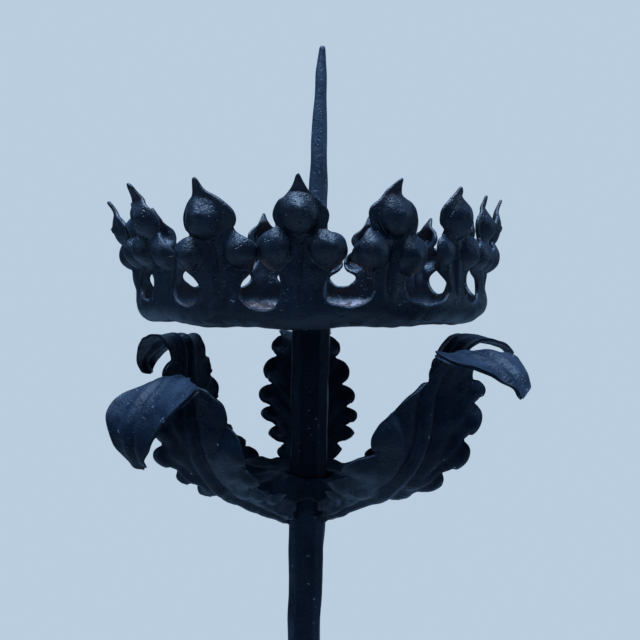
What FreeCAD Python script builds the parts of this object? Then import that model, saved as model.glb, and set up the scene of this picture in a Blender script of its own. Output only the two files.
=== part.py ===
import FreeCAD, Part
import math
import os
import Sketcher

# Floor-standing pricket candle stand, forged in iron. Millimetres, +Z up.
# The origin is on the bar's axis at floor level, and the front faces -Y.

doc = FreeCAD.newDocument("pricket_candle_stand")

# Driving dimensions: name, value, what it measures
DRIVING_SIZES = [
    ("pan_height", 1000, "floor to the underside of the drip pan"),
    ("fit_gap", 0.15, "radial clearance of a tenon or rivet in its hole"),
    ("seat_gap", 0.3, "space between a curved or welded part and its seat"),
    ("cut_overrun", 3, "how far a cut runs past the face it opens"),

    ("bar_width", 16.2, "upper bar across its flats"),
    ("bar_chamfer", 4.1, "corner chamfer of the upper bar"),
    ("bar_length", 86, "pan underside down to the joint with the lower bar"),
    ("tenon_radius", 5, "tenon that joins the two bars"),
    ("tenon_length", 22, "length of that tenon"),
    ("socket_spare", 1, "extra depth of every socket"),

    ("lower_top_width", 16.1, "lower bar across its flats at the joint"),
    ("lower_top_chamfer", 4.1, "corner chamfer there"),
    ("lower_width", 14.5, "lower bar across its flats below the taper"),
    ("lower_chamfer", 3.6, "corner chamfer there"),
    ("taper_length", 52, "length of the taper under the joint"),
    ("lower_end_height", 168, "floor to the end of the bar's straight part"),
    ("bar_point_length", 16, "blunt point at the bar's lower end"),
    ("bar_point_width", 6, "flat at that point, across"),
    ("bar_point_chamfer", 1.5, "corner chamfer at that point"),

    ("spike_length", 111.7, "washer to the tip of the spike"),
    ("spike_foot_width", 10, "spike across its flats at the washer"),
    ("spike_point_width", 6, "spike across its flats where the point begins"),
    ("spike_point_length", 18, "length of the point"),
    ("spike_tip_width", 2.4, "flat at the tip, across"),
    ("spike_tenon_radius", 3, "tenon under the spike's shoulder"),
    ("spike_tenon_length", 20, "length of that tenon"),

    ("washer_radius", 13.5, "washer under the spike"),
    ("washer_thickness", 3, "thickness of that washer"),
    ("washer_chamfer", 0.8, "chamfer of its upper edge"),

    ("pan_sheet", 1.8, "thickness of the pan's sheet"),
    ("pan_floor_radius", 67, "flat underside of the pan"),
    ("pan_corner", 8, "outer radius of the pan's rounded corner"),
    ("crown_height", 50, "pan underside to the trefoils' tips"),
    ("crown_bulge_height", 28, "height where the wall's bend is measured"),
    ("crown_bulge", 2, "how far the wall leans out at that height"),
    ("crown_flare", 7.2, "how far the tips stand out from the wall's foot"),
    ("trefoil_count", 16, "trefoils round the crown"),

    ("opening_bottom", 8, "pan underside to the bottom of an opening"),
    ("cusp_offset", 9.1, "trefoil's middle to where opening and side lobe meet"),
    ("cusp_height", 20.5, "height of that meeting point"),
    ("lobe_reach", 14.6, "trefoil's middle to the side lobe's edge"),
    ("lobe_height", 26.7, "height of the side lobes' middle"),
    ("neck_offset", 7.9, "half width of the neck under the top lobe"),
    ("neck_height", 33.2, "height of that neck"),
    ("top_reach", 9.5, "half width of the top lobe"),
    ("top_height", 38.3, "height of the top lobe's widest place"),
    ("shoulder_offset", 6.3, "half width where the pointed tip begins"),
    ("shoulder_height", 43.9, "height of that place"),
    ("ogee_offset", 2.6, "half width at the middle of the tip's hollow curve"),
    ("ogee_height", 46.5, "height of that place"),
    ("tip_offset", 0.4, "half width of the tip's end"),

    ("top_boss_radius", 7.6, "foot radius of the boss on the top lobe"),
    ("top_boss_rise", 4.8, "how far that boss stands out"),
    ("side_boss_radius", 5.6, "foot radius of the boss on a side lobe"),
    ("side_boss_rise", 4, "how far that boss stands out"),
    ("side_boss_offset", 8.3, "trefoil's middle to the side boss's middle"),

    ("hub_drop", 70, "pan underside to the hub's inner rim"),
    ("hub_inner_radius", 10, "hole in the hub, wider than the bar"),
    ("hub_outer_radius", 15.5, "outer rim of the hub"),
    ("hub_slope", 9, "how far the hub falls to its outer rim"),
    ("hub_sheet", 1.8, "thickness of the hub, measured upright"),

    ("leaf_count", 5, "leaves round the bar"),
    ("leaf_reach", 95, "root to the outermost place of a leaf, level"),
    ("leaf_rise", 73, "root to the crest of a leaf, upright"),
    ("leaf_half_width", 27, "half width of a leaf at its widest lobes"),
    ("leaf_thickness", 1.6, "thickness of a leaf's sheet"),
    ("leaf_lobes", 8, "rounded lobes along each side of a leaf"),
    ("notch_depth", 5, "depth of the notches between the lobes"),
    ("lobe_dome", 2.2, "how far a lobe is raised outwards"),
    ("leaf_fold", 55, "turn of a leaf's sheet, in degrees, 10 mm from its midrib near the root"),

    ("leg_thickness", 7, "leg bar, in the plane of its bends"),
    ("leg_width", 12, "leg bar, across that plane"),
    ("leg_top_height", 262, "floor to the top of the legs"),
    ("leg_bend_height", 185, "floor to the start of the upper bend"),
    ("leg_hip_radius", 110, "bend that turns the leg outwards"),
    ("leg_knee_radius", 130, "bend that turns it down to the floor"),
    ("leg_spread", 146, "bar's axis to the middle of a foot"),
    ("foot_radius", 17, "penny foot"),
    ("foot_thickness", 5, "thickness of a penny foot"),
    ("foot_chamfer", 1.2, "chamfer of its upper edge"),
    ("leg_count", 4, "legs, one on each face of the bar"),

    ("collar_wall", 3.5, "thickness of a collar"),
    ("collar_width", 14, "height of a collar"),
    ("collar_chamfer", 8, "inner corner chamfer of a collar"),
    ("upper_collar_height", 246, "floor to the middle of the upper collar"),
    ("lower_collar_height", 196, "floor to the middle of the lower collar"),

    ("rivet_radius", 3, "shank of a leg rivet"),
    ("rivet_head_radius", 5, "head of a leg rivet"),
    ("rivet_head_rise", 2.6, "rise of a rivet's domed head"),
    ("side_rivet_height", 228, "floor to the rivet through the side legs"),
    ("front_rivet_height", 214, "floor to the rivet through the front and rear legs"),
]

# Course of each leaf's midrib, from root to tip, as shares of leaf_reach and leaf_rise
LEAF_MIDRIB_SHARES = [
    [
        (0, 0), (0.067, 0.002), (0.174, 0.055), (0.374, 0.192), (0.532, 0.411), (0.595, 0.63), (0.626, 0.795),
        (0.679, 0.959), (0.763, 0.993), (0.868, 0.932), (0.932, 0.795), (0.932, 0.685),
    ],
    [
        (0, 0), (0.067, 0.002), (0.174, 0.055), (0.374, 0.164), (0.537, 0.356), (0.584, 0.603), (0.595, 0.781),
        (0.611, 0.918), (0.663, 0.993), (0.747, 0.966), (0.826, 0.87), (0.853, 0.795), (0.826, 0.712),
    ],
    [
        (0, 0), (0.067, 0.002), (0.174, 0.068), (0.321, 0.164), (0.521, 0.322), (0.632, 0.479), (0.673, 0.685),
        (0.671, 0.808), (0.711, 0.884), (0.784, 0.89), (0.863, 0.822), (0.9, 0.699), (0.895, 0.616),
        (0.851, 0.507),
    ],
    [
        (0, 0), (0.067, 0.002), (0.132, 0.048), (0.237, 0.11), (0.426, 0.253), (0.568, 0.39), (0.671, 0.555),
        (0.712, 0.711), (0.721, 0.89), (0.763, 1.014), (0.847, 1.075), (0.984, 1.068), (1.068, 1.027),
        (1.116, 0.938),
    ],
    [
        (0, 0), (0.067, 0.002), (0.174, 0.055), (0.374, 0.192), (0.542, 0.397), (0.584, 0.603), (0.584, 0.767),
        (0.605, 0.938), (0.668, 1.034), (0.763, 1.041), (0.9, 0.986), (0.942, 0.918),
    ],
]
# Half width of each leaf to its own left and right, as shares of its length and of leaf_half_width
LEAF_WIDTH_SHARES = [
    ([
        (0, 0.237), (0.049, 0.278), (0.147, 0.391), (0.241, 0.565), (0.329, 0.761), (0.413, 0.872),
        (0.5, 0.887), (0.598, 0.841), (0.696, 0.713), (0.741, 0.574), (0.769, 0.548), (0.818, 0.57),
        (0.874, 0.5), (0.937, 0.315), (0.986, 0.111), (1, 0.019),
    ], [
        (0, 0.237), (0.049, 0.278), (0.147, 0.391), (0.241, 0.565), (0.329, 0.761), (0.413, 0.872),
        (0.5, 0.887), (0.598, 0.841), (0.696, 0.713), (0.741, 0.574), (0.769, 0.548), (0.818, 0.57),
        (0.874, 0.5), (0.937, 0.315), (0.986, 0.111), (1, 0.019),
    ]),
    ([
        (0, 0.263), (0.047, 0.26), (0.095, 0.36), (0.142, 0.637), (0.233, 0.704), (0.321, 0.704), (0.402, 0.806),
        (0.48, 0.863), (0.568, 0.826), (0.655, 0.694), (0.696, 0.556), (0.743, 0.519), (0.811, 0.556),
        (0.892, 0.481), (0.953, 0.296), (1, 0.019),
    ], [
        (0, 0.263), (0.047, 0.26), (0.095, 0.36), (0.142, 0.637), (0.233, 0.704), (0.321, 0.704), (0.402, 0.806),
        (0.48, 0.863), (0.568, 0.826), (0.655, 0.694), (0.696, 0.556), (0.743, 0.556), (0.811, 0.593),
        (0.892, 0.481), (0.953, 0.296), (1, 0.019),
    ]),
    ([
        (0, 0.23), (0.048, 0.27), (0.145, 0.322), (0.249, 0.343), (0.349, 0.417), (0.429, 0.537),
        (0.505, 0.676), (0.591, 0.667), (0.667, 0.491), (0.698, 0.352), (0.733, 0.296), (0.779, 0.352),
        (0.816, 0.5), (0.864, 0.548), (0.909, 0.456), (0.966, 0.33), (1, 0.019),
    ], [
        (0, 0.263), (0.048, 0.363), (0.145, 0.546), (0.239, 0.648), (0.335, 0.722), (0.443, 0.833),
        (0.557, 0.843), (0.66, 0.639), (0.705, 0.426), (0.754, 0.556), (0.792, 0.907), (0.826, 0.841),
        (0.853, 0.689), (0.896, 0.467), (0.943, 0.252), (1, 0.019),
    ]),
    ([
        (0, 0.263), (0.046, 0.363), (0.137, 0.528), (0.228, 0.611), (0.326, 0.75), (0.447, 0.815),
        (0.574, 0.704), (0.675, 0.556), (0.717, 0.37), (0.769, 0.519), (0.834, 0.722), (0.893, 0.741),
        (0.939, 0.407), (0.971, 0.193), (1, 0.019),
    ], [
        (0, 0.23), (0.046, 0.27), (0.137, 0.302), (0.231, 0.278), (0.332, 0.352), (0.434, 0.546),
        (0.522, 0.722), (0.6, 0.787), (0.675, 0.806), (0.711, 0.685), (0.769, 0.556), (0.821, 0.519),
        (0.877, 0.444), (0.919, 0.333), (0.971, 0.185), (1, 0.019),
    ]),
    ([
        (0, 0.263), (0.048, 0.26), (0.095, 0.36), (0.145, 0.637), (0.237, 0.704), (0.327, 0.704), (0.409, 0.806),
        (0.489, 0.863), (0.578, 0.826), (0.668, 0.694), (0.709, 0.556), (0.757, 0.556), (0.826, 0.556),
        (0.895, 0.444), (0.95, 0.296), (1, 0.019),
    ], [
        (0, 0.263), (0.048, 0.26), (0.095, 0.36), (0.145, 0.646), (0.237, 0.75), (0.327, 0.787), (0.409, 0.787),
        (0.489, 0.722), (0.578, 0.639), (0.668, 0.537), (0.709, 0.426), (0.757, 0.556), (0.826, 0.556),
        (0.895, 0.444), (0.95, 0.296), (1, 0.019),
    ]),
]
# Turn of each leaf from its even place round the bar, as a share of the angle between leaves
LEAF_TURN_SHARES = [0.035, -0.083, 0, 0, 0]
# Twist of each leaf about its midrib: share of its length, share of a right angle
LEAF_TWIST_SHARES = [
    [(0, 0), (1, 0)],
    [(0, 0), (1, 0)],
    [(0, 0), (0.25, -0.044), (0.5, -0.089), (0.7, -0.056), (0.85, 0), (1, 0)],
    [(0, 0), (0.25, 0.089), (0.5, 0.178), (0.7, 0.111), (0.85, 0), (1, 0)],
    [(0, 0), (1, 0)],
]
# How far each midrib leaves its plane: share of its length, share of leaf_half_width
LEAF_DRIFT_SHARES = [
    [(0, 0), (0.35, 0.011), (0.5, 0.056), (0.65, 0.089), (0.8, 0.089), (1, 0.089)],
    [(0, 0), (1, 0)],
    [(0, 0), (0.3, 0.056), (0.5, 0.111), (0.65, 0.093), (0.8, 0), (1, 0)],
    [(0, 0), (0.3, -0.074), (0.45, -0.148), (0.58, -0.111), (0.75, 0), (1, 0)],
    [(0, 0), (1, 0)],
]
# How hard a leaf is folded along its midrib: share of its length, share of leaf_fold
FOLD_SHARES = [
    (0, 0.12), (0.055, 0.16), (0.11, 0.92), (0.15, 1), (0.24, 0.67), (0.34, 0.33), (0.5, 0.167), (0.7, 0.125),
    (1, 0.104),
]
DEEP_FOLD_SHARES = [
    (0, 0.12), (0.055, 0.16), (0.11, 0.94), (0.15, 1.02), (0.26, 0.92), (0.36, 0.5), (0.5, 0.188), (0.7, 0.125),
    (1, 0.104),
]
LEAF_FOLD_SHARES = [FOLD_SHARES, DEEP_FOLD_SHARES, FOLD_SHARES, FOLD_SHARES, DEEP_FOLD_SHARES]
# Depth of the notches along a leaf: share of its length, share of notch_depth
NOTCH_SHARES = [(0, 0.12), (0.1, 0.3), (0.2, 0.6), (0.3, 0.85), (0.4, 1), (1, 1)]
LOBES_END_SHARE = 0.715
# Grid on a leaf: rows along each lobe and along the tip, and columns across half the leaf
ROWS_PER_LOBE = 6
TIP_ROWS = 12
HALF_COLUMNS = 5
# Distance from the midrib at which leaf_fold is read
FOLD_GAUGE = 10
# Half of the turn of the pan's corner, in degrees
HALF_CORNER = 45
# Faces of the forged spike
SPIKE_FACES = 8
# Part.makeRuledSurface joins the edges start to start
SAME_WAY = 1

sheet = doc.addObject("Spreadsheet::Sheet", "Sizes")
for row, (name, value, meaning) in enumerate(DRIVING_SIZES, start=1):
    sheet.set("A%d" % row, name)
    sheet.set("B%d" % row, str(value))
    sheet.set("C%d" % row, meaning)
    sheet.setAlias("B%d" % row, name)
doc.recompute()


def value_of(expression):
    """Number that an expression of sheet names gives."""
    result = sheet.evalExpression(expression)
    return float(getattr(result, "Value", result))


def size(name):
    return value_of("Sizes." + name)


# Heights and places that several pieces share
WASHER_BASE = "(Sizes.pan_height + Sizes.pan_sheet)"
SPIKE_BASE = "(Sizes.pan_height + Sizes.pan_sheet + Sizes.washer_thickness)"
JOINT_HEIGHT = "(Sizes.pan_height - Sizes.bar_length)"
LEG_OFFSET = "(Sizes.lower_width / 2 + Sizes.leg_thickness / 2)"
SPIKE_HOLE = "(Sizes.spike_tenon_radius + Sizes.fit_gap)"
RIVET_HOLE = "(Sizes.rivet_radius + Sizes.fit_gap)"
BAR_CORNER_RADIUS = "sqrt((Sizes.bar_width / 2) ^ 2 + (Sizes.bar_width / 2 - Sizes.bar_chamfer) ^ 2)"
LEAF_ROOT_RADIUS = "(%s + Sizes.seat_gap)" % BAR_CORNER_RADIUS
HUB_RIM_HEIGHT = "(Sizes.pan_height - Sizes.hub_drop - Sizes.hub_slope - Sizes.hub_sheet)"
LEAF_ROOT_HEIGHT = "(%s - Sizes.seat_gap - Sizes.leaf_thickness / 2)" % HUB_RIM_HEIGHT
FLAT_TO_CORNER = "cos(180 / %d)" % SPIKE_FACES


def bind(item, **expressions):
    """Tie properties of an object to the sheet. Base_x stands for Placement.Base.x."""
    for name, expression in expressions.items():
        if name.startswith("Base_"):
            name = "Placement.Base." + name[-1]
        item.setExpression(name, expression)


def new_body(label):
    body = doc.addObject("PartDesign::Body", label)
    body.Label = label
    return body


def origin_plane(body, role):
    for item in body.Origin.OriginFeatures:
        if item.Role == role:
            return item
    raise ValueError(role)


def new_sketch(body, name, role, offset="0"):
    """Sketch on one of the body's own origin planes, moved along its normal."""
    sketch = body.newObject("Sketcher::SketchObject", name)
    sketch.AttachmentSupport = [(origin_plane(body, role), "")]
    sketch.MapMode = "FlatFace"
    sketch.setExpression("AttachmentOffset.Base.z", offset)
    doc.recompute()
    return sketch


def tie_point(sketch, element, end, across, up):
    """Fix a point of the sketch at two expressions."""
    for kind, expression in (("DistanceX", across), ("DistanceY", up)):
        number = sketch.addConstraint(
            Sketcher.Constraint(kind, -1, 1, element, end, value_of(expression)))
        sketch.setExpression("Constraints[%d]" % number, expression)


def outline(sketch, points):
    """Closed outline. A point is (across, up), or (across, up, via_across, via_up)
    when an arc through the second place leads to it."""
    elements = []
    places = [(value_of(point[0]), value_of(point[1])) for point in points]
    for index, point in enumerate(points):
        start = FreeCAD.Vector(*places[index - 1], 0)
        end = FreeCAD.Vector(*places[index], 0)
        if len(point) == 2:
            number = sketch.addGeometry(Part.LineSegment(start, end), False)
            ends = (1, 2)
        else:
            via = FreeCAD.Vector(value_of(point[2]), value_of(point[3]), 0)
            arc = Part.Arc(start, via, end)
            number = sketch.addGeometry(arc, False)
            turn = (via - start).cross(end - via).z
            ends = (1, 2) if turn > 0 else (2, 1)
        elements.append((number, ends))
    for index, point in enumerate(points):
        number, ends = elements[index]
        after, after_ends = elements[(index + 1) % len(points)]
        sketch.addConstraint(Sketcher.Constraint("Coincident", number, ends[1], after, after_ends[0]))
        tie_point(sketch, number, ends[1], point[0], point[1])
        if len(point) == 4:
            via = Part.Point(FreeCAD.Vector(value_of(point[2]), value_of(point[3]), 0))
            marker = sketch.addGeometry(via, True)
            tie_point(sketch, marker, 1, point[2], point[3])
            sketch.addConstraint(Sketcher.Constraint("PointOnObject", marker, 1, number))


def chamfered_square(width, chamfer):
    """Corner points of a square bar's section with its corners cut off."""
    half = "(%s) / 2" % width
    flat = "((%s) / 2 - (%s))" % (width, chamfer)
    corners = [(half, flat), (flat, half)]
    corners += [("-" + flat, half), ("-" + half, flat)]
    corners += [("-" + half, "-" + flat), ("-" + flat, "-" + half)]
    corners += [(flat, "-" + half), (half, "-" + flat)]
    return corners


def pad(body, sketch, name, length, both_ways=False, backwards=False):
    feature = body.newObject("PartDesign::Pad", name)
    feature.Profile = sketch
    feature.Midplane = both_ways
    feature.Reversed = backwards
    feature.setExpression("Length", length)
    return feature


def revolve(body, sketch, name, cut=False):
    """Turn a sketch on the XZ plane a full turn round the body's upright axis."""
    feature = body.newObject("PartDesign::Groove" if cut else "PartDesign::Revolution", name)
    feature.Profile = sketch
    feature.ReferenceAxis = (sketch, ["V_Axis"])
    feature.Angle = 360
    return feature


def cylinder(body, name, radius, length, cut=False, **place):
    kind = "PartDesign::SubtractiveCylinder" if cut else "PartDesign::AdditiveCylinder"
    feature = body.newObject(kind, name)
    bind(feature, Radius=radius, Height=length, **place)
    return feature


def round_pattern(body, name, originals, count):
    """Repeat features round the body's upright axis."""
    pattern = body.newObject("PartDesign::PolarPattern", name)
    pattern.Originals = originals
    pattern.Axis = (origin_plane(body, "Z_Axis"), [""])
    pattern.Angle = 360
    pattern.setExpression("Occurrences", count)
    body.Tip = pattern
    return pattern


def chamfer_edges(body, base, name, chosen, width):
    """Chamfer the edges of a feature for which chosen(edge) is true."""
    doc.recompute()
    names = ["Edge%d" % number for number, edge in enumerate(base.Shape.Edges, start=1) if chosen(edge)]
    feature = body.newObject("PartDesign::Chamfer", name)
    feature.Base = (base, names)
    feature.setExpression("Size", width)
    return feature


def turn_x_to_y():
    return FreeCAD.Rotation(FreeCAD.Vector(1, 0, 0), -90)


def turn_z_to_x():
    return FreeCAD.Rotation(FreeCAD.Vector(0, 1, 0), 90)


# Spike and washer

def make_spike():
    """Eight-sided tapered spike with a round tenon under its shoulder."""
    sections = []
    courses = [
        ("spike_foot", "Sizes.spike_foot_width", SPIKE_BASE),
        ("spike_neck", "Sizes.spike_point_width",
         SPIKE_BASE + " + Sizes.spike_length - Sizes.spike_point_length"),
        ("spike_tip", "Sizes.spike_tip_width", SPIKE_BASE + " + Sizes.spike_length"),
    ]
    for name, width, height in courses:
        section = doc.addObject("Part::RegularPolygon", name)
        section.Polygon = SPIKE_FACES
        section.Placement.Rotation = FreeCAD.Rotation(FreeCAD.Vector(0, 0, 1), 180 / SPIKE_FACES)
        bind(section, Circumradius="%s / 2 / %s" % (width, FLAT_TO_CORNER), Base_z=height)
        sections.append(section)
    blade = doc.addObject("Part::Loft", "spike_blade")
    blade.Sections = sections
    blade.Solid = True
    blade.Ruled = True
    tenon = doc.addObject("Part::Cylinder", "spike_tenon")
    bind(tenon, Radius="Sizes.spike_tenon_radius", Height="Sizes.spike_tenon_length",
         Base_z=SPIKE_BASE + " - Sizes.spike_tenon_length")
    spike = doc.addObject("Part::Fuse", "pricket_spike")
    spike.Base = blade
    spike.Tool = tenon
    spike.Label = "pricket_spike"
    return spike


def make_washer():
    body = new_body("spike_washer")
    disc = cylinder(body, "washer_disc", "Sizes.washer_radius", "Sizes.washer_thickness", Base_z=WASHER_BASE)
    top = value_of(SPIKE_BASE)
    chamfer_edges(body, disc, "washer_edge", lambda edge: at_height(edge, top), "Sizes.washer_chamfer")
    cylinder(body, "washer_hole", SPIKE_HOLE, "Sizes.washer_thickness + 2 * Sizes.cut_overrun", cut=True,
             Base_z=WASHER_BASE + " - Sizes.cut_overrun")
    return body


def at_height(edge, height):
    """True for a closed edge that lies level at the given height."""
    box = edge.BoundBox
    near = size("fit_gap")
    return edge.isClosed() and abs(box.ZMin - height) < near and abs(box.ZMax - height) < near


# Crown pan

def wall_points(inset):
    """Outline of the crown's wall in its own section, moved inwards by inset."""
    foot = "(Sizes.pan_floor_radius + Sizes.pan_corner - %s)" % inset
    slant = "(Sizes.pan_corner - %s) * cos(%s)" % (inset, HALF_CORNER)
    corner_out = "(Sizes.pan_floor_radius + %s)" % slant
    corner_up = "Sizes.pan_height + Sizes.pan_corner - %s" % slant
    low = "(Sizes.pan_height + %s)" % inset
    return [
        ("Sizes.pan_floor_radius", low),
        (foot, "Sizes.pan_height + Sizes.pan_corner", corner_out, corner_up),
        (foot + " + Sizes.crown_flare", "Sizes.pan_height + Sizes.crown_height",
         foot + " + Sizes.crown_bulge", "Sizes.pan_height + Sizes.crown_bulge_height"),
    ]


def boss_sizes(radius, rise):
    """Radius of a boss's sphere and the depth of its middle under the wall's face."""
    sphere = "((%s ^ 2 + %s ^ 2) / (2 * %s))" % (radius, rise, rise)
    depth = "(%s - %s)" % (sphere, rise)
    return sphere, depth


def add_bosses(body, name, cut):
    """Three bosses of the front trefoil, or the hollows behind them."""
    kind = "PartDesign::SubtractiveSphere" if cut else "PartDesign::AdditiveSphere"
    bosses = [
        ("top", "0", "Sizes.top_height", "Sizes.top_boss_radius", "Sizes.top_boss_rise"),
        ("left", "-Sizes.side_boss_offset", "Sizes.lobe_height", "Sizes.side_boss_radius",
         "Sizes.side_boss_rise"),
        ("right", "Sizes.side_boss_offset", "Sizes.lobe_height", "Sizes.side_boss_radius",
         "Sizes.side_boss_rise"),
    ]
    made = []
    for side, across, up, radius, rise in bosses:
        sphere, depth = boss_sizes(radius, rise)
        face = "(Sizes.pan_floor_radius + Sizes.pan_corner + %s)" % wall_lean(up)
        middle = "(%s - %s)" % (face, depth)
        turn = "(%s / %s * 180 / pi)" % (across, face)
        feature = body.newObject(kind, name + "_" + side)
        wall = " - Sizes.pan_sheet" if cut else ""
        bind(feature, Radius=sphere + wall, Base_x="%s * sin(%s)" % (middle, turn),
             Base_y="-%s * cos(%s)" % (middle, turn), Base_z="Sizes.pan_height + " + up)
        made.append(feature)
    return made


def wall_lean(up):
    """How far the wall has leant out at a height: the bend, as a parabola through its three places."""
    rise = "(%s - Sizes.pan_corner)" % up
    full = "(Sizes.crown_height - Sizes.pan_corner)"
    part = "(Sizes.crown_bulge_height - Sizes.pan_corner)"
    curve = "((Sizes.crown_flare / %s - Sizes.crown_bulge / %s) / (%s - %s))" % (full, part, full, part)
    return "(%s * (Sizes.crown_bulge / %s + %s * (%s - %s)))" % (rise, part, curve, rise, part)


def gap_points():
    """Outline of the space between two trefoils, in the plane that faces it."""
    radius = "(Sizes.pan_floor_radius + Sizes.pan_corner + Sizes.crown_bulge)"
    pitch = "(%s * sin(180 / Sizes.trefoil_count))" % radius
    ends = [("cusp_offset", "cusp_height"), ("neck_offset", "neck_height"),
            ("shoulder_offset", "shoulder_height"), ("tip_offset", "crown_height")]
    vias = [("lobe_reach", "lobe_height"), ("top_reach", "top_height"), ("ogee_offset", "ogee_height")]

    def place(name, height, side):
        return "%s(%s - Sizes.%s)" % (side, pitch, name), "Sizes.pan_height + Sizes." + height

    points = [place(*ends[0], "") + ("0", "Sizes.pan_height + Sizes.opening_bottom")]
    for end, via in zip(ends[1:], vias):
        points.append(place(*end, "") + place(*via, ""))
    for side in ("", "-"):
        across, up = place(*ends[-1], side)
        points.append((across, up + " + Sizes.cut_overrun"))
    points.append(place(*ends[-1], "-"))
    for end, via in zip(ends[-2::-1], vias[::-1]):
        points.append(place(*end, "-") + place(*via, "-"))
    return points


def make_pan():
    """Pan and crown, raised from one sheet: 16 trefoils, each with three hollow bosses."""
    body = new_body("crown_pan")
    outer = new_sketch(body, "pan_outer", "XZ_Plane")
    outline(outer, [("0", "Sizes.pan_height")] + wall_points("0")
            + [("0", "Sizes.pan_height + Sizes.crown_height")])
    revolve(body, outer, "pan_block")
    bosses = add_bosses(body, "boss", cut=False)
    round_pattern(body, "boss_ring", bosses, "Sizes.trefoil_count")

    inner = new_sketch(body, "pan_inner", "XZ_Plane")
    above = "Sizes.pan_height + Sizes.crown_height"
    rim = "(Sizes.pan_floor_radius + Sizes.pan_corner - Sizes.pan_sheet + Sizes.crown_flare)"
    outline(inner, [("0", "Sizes.pan_height + Sizes.pan_sheet")] + wall_points("Sizes.pan_sheet")
            + [(rim, above + " + Sizes.cut_overrun"), ("0", above + " + Sizes.cut_overrun")])
    revolve(body, inner, "pan_hollow", cut=True)
    hollows = add_bosses(body, "hollow", cut=True)
    round_pattern(body, "hollow_ring", hollows, "Sizes.trefoil_count")

    gap = new_sketch(body, "gap_outline", "XZ_Plane")
    gap.AttachmentOffset.Rotation.Axis = FreeCAD.Vector(0, 1, 0)
    gap.setExpression("AttachmentOffset.Rotation.Angle", "180 / Sizes.trefoil_count")
    outline(gap, gap_points())
    cut = body.newObject("PartDesign::Pocket", "gap_cut")
    cut.Profile = gap
    cut.Reversed = True
    cut.setExpression("Length", "2 * (Sizes.pan_floor_radius + Sizes.pan_corner)")
    round_pattern(body, "gap_ring", [cut], "Sizes.trefoil_count")
    cylinder(body, "spike_passage", SPIKE_HOLE, "Sizes.pan_sheet + 2 * Sizes.cut_overrun", cut=True,
             Base_z="Sizes.pan_height - Sizes.cut_overrun")
    return body


# Bars

def make_upper_shaft():
    """Straight bar with a socket for the spike and a tenon for the lower bar."""
    body = new_body("upper_shaft")
    section = new_sketch(body, "upper_section", "XY_Plane", JOINT_HEIGHT)
    outline(section, chamfered_square("Sizes.bar_width", "Sizes.bar_chamfer"))
    pad(body, section, "upper_bar", "Sizes.bar_length")
    depth = "(Sizes.spike_tenon_length - Sizes.washer_thickness - Sizes.pan_sheet + Sizes.socket_spare)"
    cylinder(body, "spike_socket", SPIKE_HOLE, depth + " + Sizes.cut_overrun", cut=True,
             Base_z="Sizes.pan_height - " + depth)
    cylinder(body, "bar_tenon", "Sizes.tenon_radius", "Sizes.tenon_length",
             Base_z=JOINT_HEIGHT + " - Sizes.tenon_length")
    return body


def make_lower_shaft():
    """Bar that tapers under the whorl, runs down to the legs and ends in a blunt point."""
    body = new_body("lower_shaft")
    courses = [
        ("joint", JOINT_HEIGHT, "Sizes.lower_top_width", "Sizes.lower_top_chamfer"),
        ("taper_end", JOINT_HEIGHT + " - Sizes.taper_length", "Sizes.lower_width", "Sizes.lower_chamfer"),
        ("straight_end", "Sizes.lower_end_height", "Sizes.lower_width", "Sizes.lower_chamfer"),
        ("point", "Sizes.lower_end_height - Sizes.bar_point_length", "Sizes.bar_point_width",
         "Sizes.bar_point_chamfer"),
    ]
    sections = []
    for name, height, width, chamfer in courses:
        section = new_sketch(body, name + "_section", "XY_Plane", height)
        outline(section, chamfered_square(width, chamfer))
        sections.append(section)
    loft = body.newObject("PartDesign::AdditiveLoft", "lower_bar")
    loft.Profile = sections[0]
    loft.Sections = sections[1:]
    loft.Ruled = True
    depth = "(Sizes.tenon_length + Sizes.socket_spare)"
    cylinder(body, "bar_socket", "Sizes.tenon_radius + Sizes.fit_gap", depth + " + Sizes.cut_overrun",
             cut=True, Base_z=JOINT_HEIGHT + " - " + depth)
    reach = "(Sizes.lower_width / 2 + Sizes.cut_overrun)"
    side = cylinder(body, "side_rivet_hole", RIVET_HOLE, "2 * " + reach, cut=True,
                    Base_x="-" + reach, Base_z="Sizes.side_rivet_height")
    side.Placement.Rotation = turn_z_to_x()
    front = cylinder(body, "front_rivet_hole", RIVET_HOLE, "2 * " + reach, cut=True,
                     Base_y="-" + reach, Base_z="Sizes.front_rivet_height")
    front.Placement.Rotation = turn_x_to_y()
    return body


# Whorl of leaves

def make_hub():
    """Dished ring that the leaves are welded under, with a hole wider than the bar."""
    body = new_body("leaf_hub")
    section = new_sketch(body, "hub_section", "XZ_Plane")
    inner_top = "Sizes.pan_height - Sizes.hub_drop"
    outer_top = inner_top + " - Sizes.hub_slope"
    outline(section, [
        ("Sizes.hub_inner_radius", inner_top + " - Sizes.hub_sheet"),
        ("Sizes.hub_outer_radius", outer_top + " - Sizes.hub_sheet"),
        ("Sizes.hub_outer_radius", outer_top),
        ("Sizes.hub_inner_radius", inner_top),
    ])
    revolve(body, section, "hub_ring")
    return body


def smooth_share(course, place):
    """Value at a place of a course of (place, value) pairs, on a smooth curve through them."""
    last = len(course) - 1
    slopes = []
    for index in range(last + 1):
        before = course[max(index - 1, 0)]
        after = course[min(index + 1, last)]
        slopes.append((after[1] - before[1]) / (after[0] - before[0]))
    index = max(number for number in range(last) if course[number][0] <= place)
    (start, low), (end, high) = course[index], course[index + 1]
    span = end - start
    part = (place - start) / span
    rest = 1 - part
    return ((low * (1 + 2 * part) + slopes[index] * span * part) * rest ** 2
            + (high * (1 + 2 * rest) - slopes[index + 1] * span * rest) * part ** 2)


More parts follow.
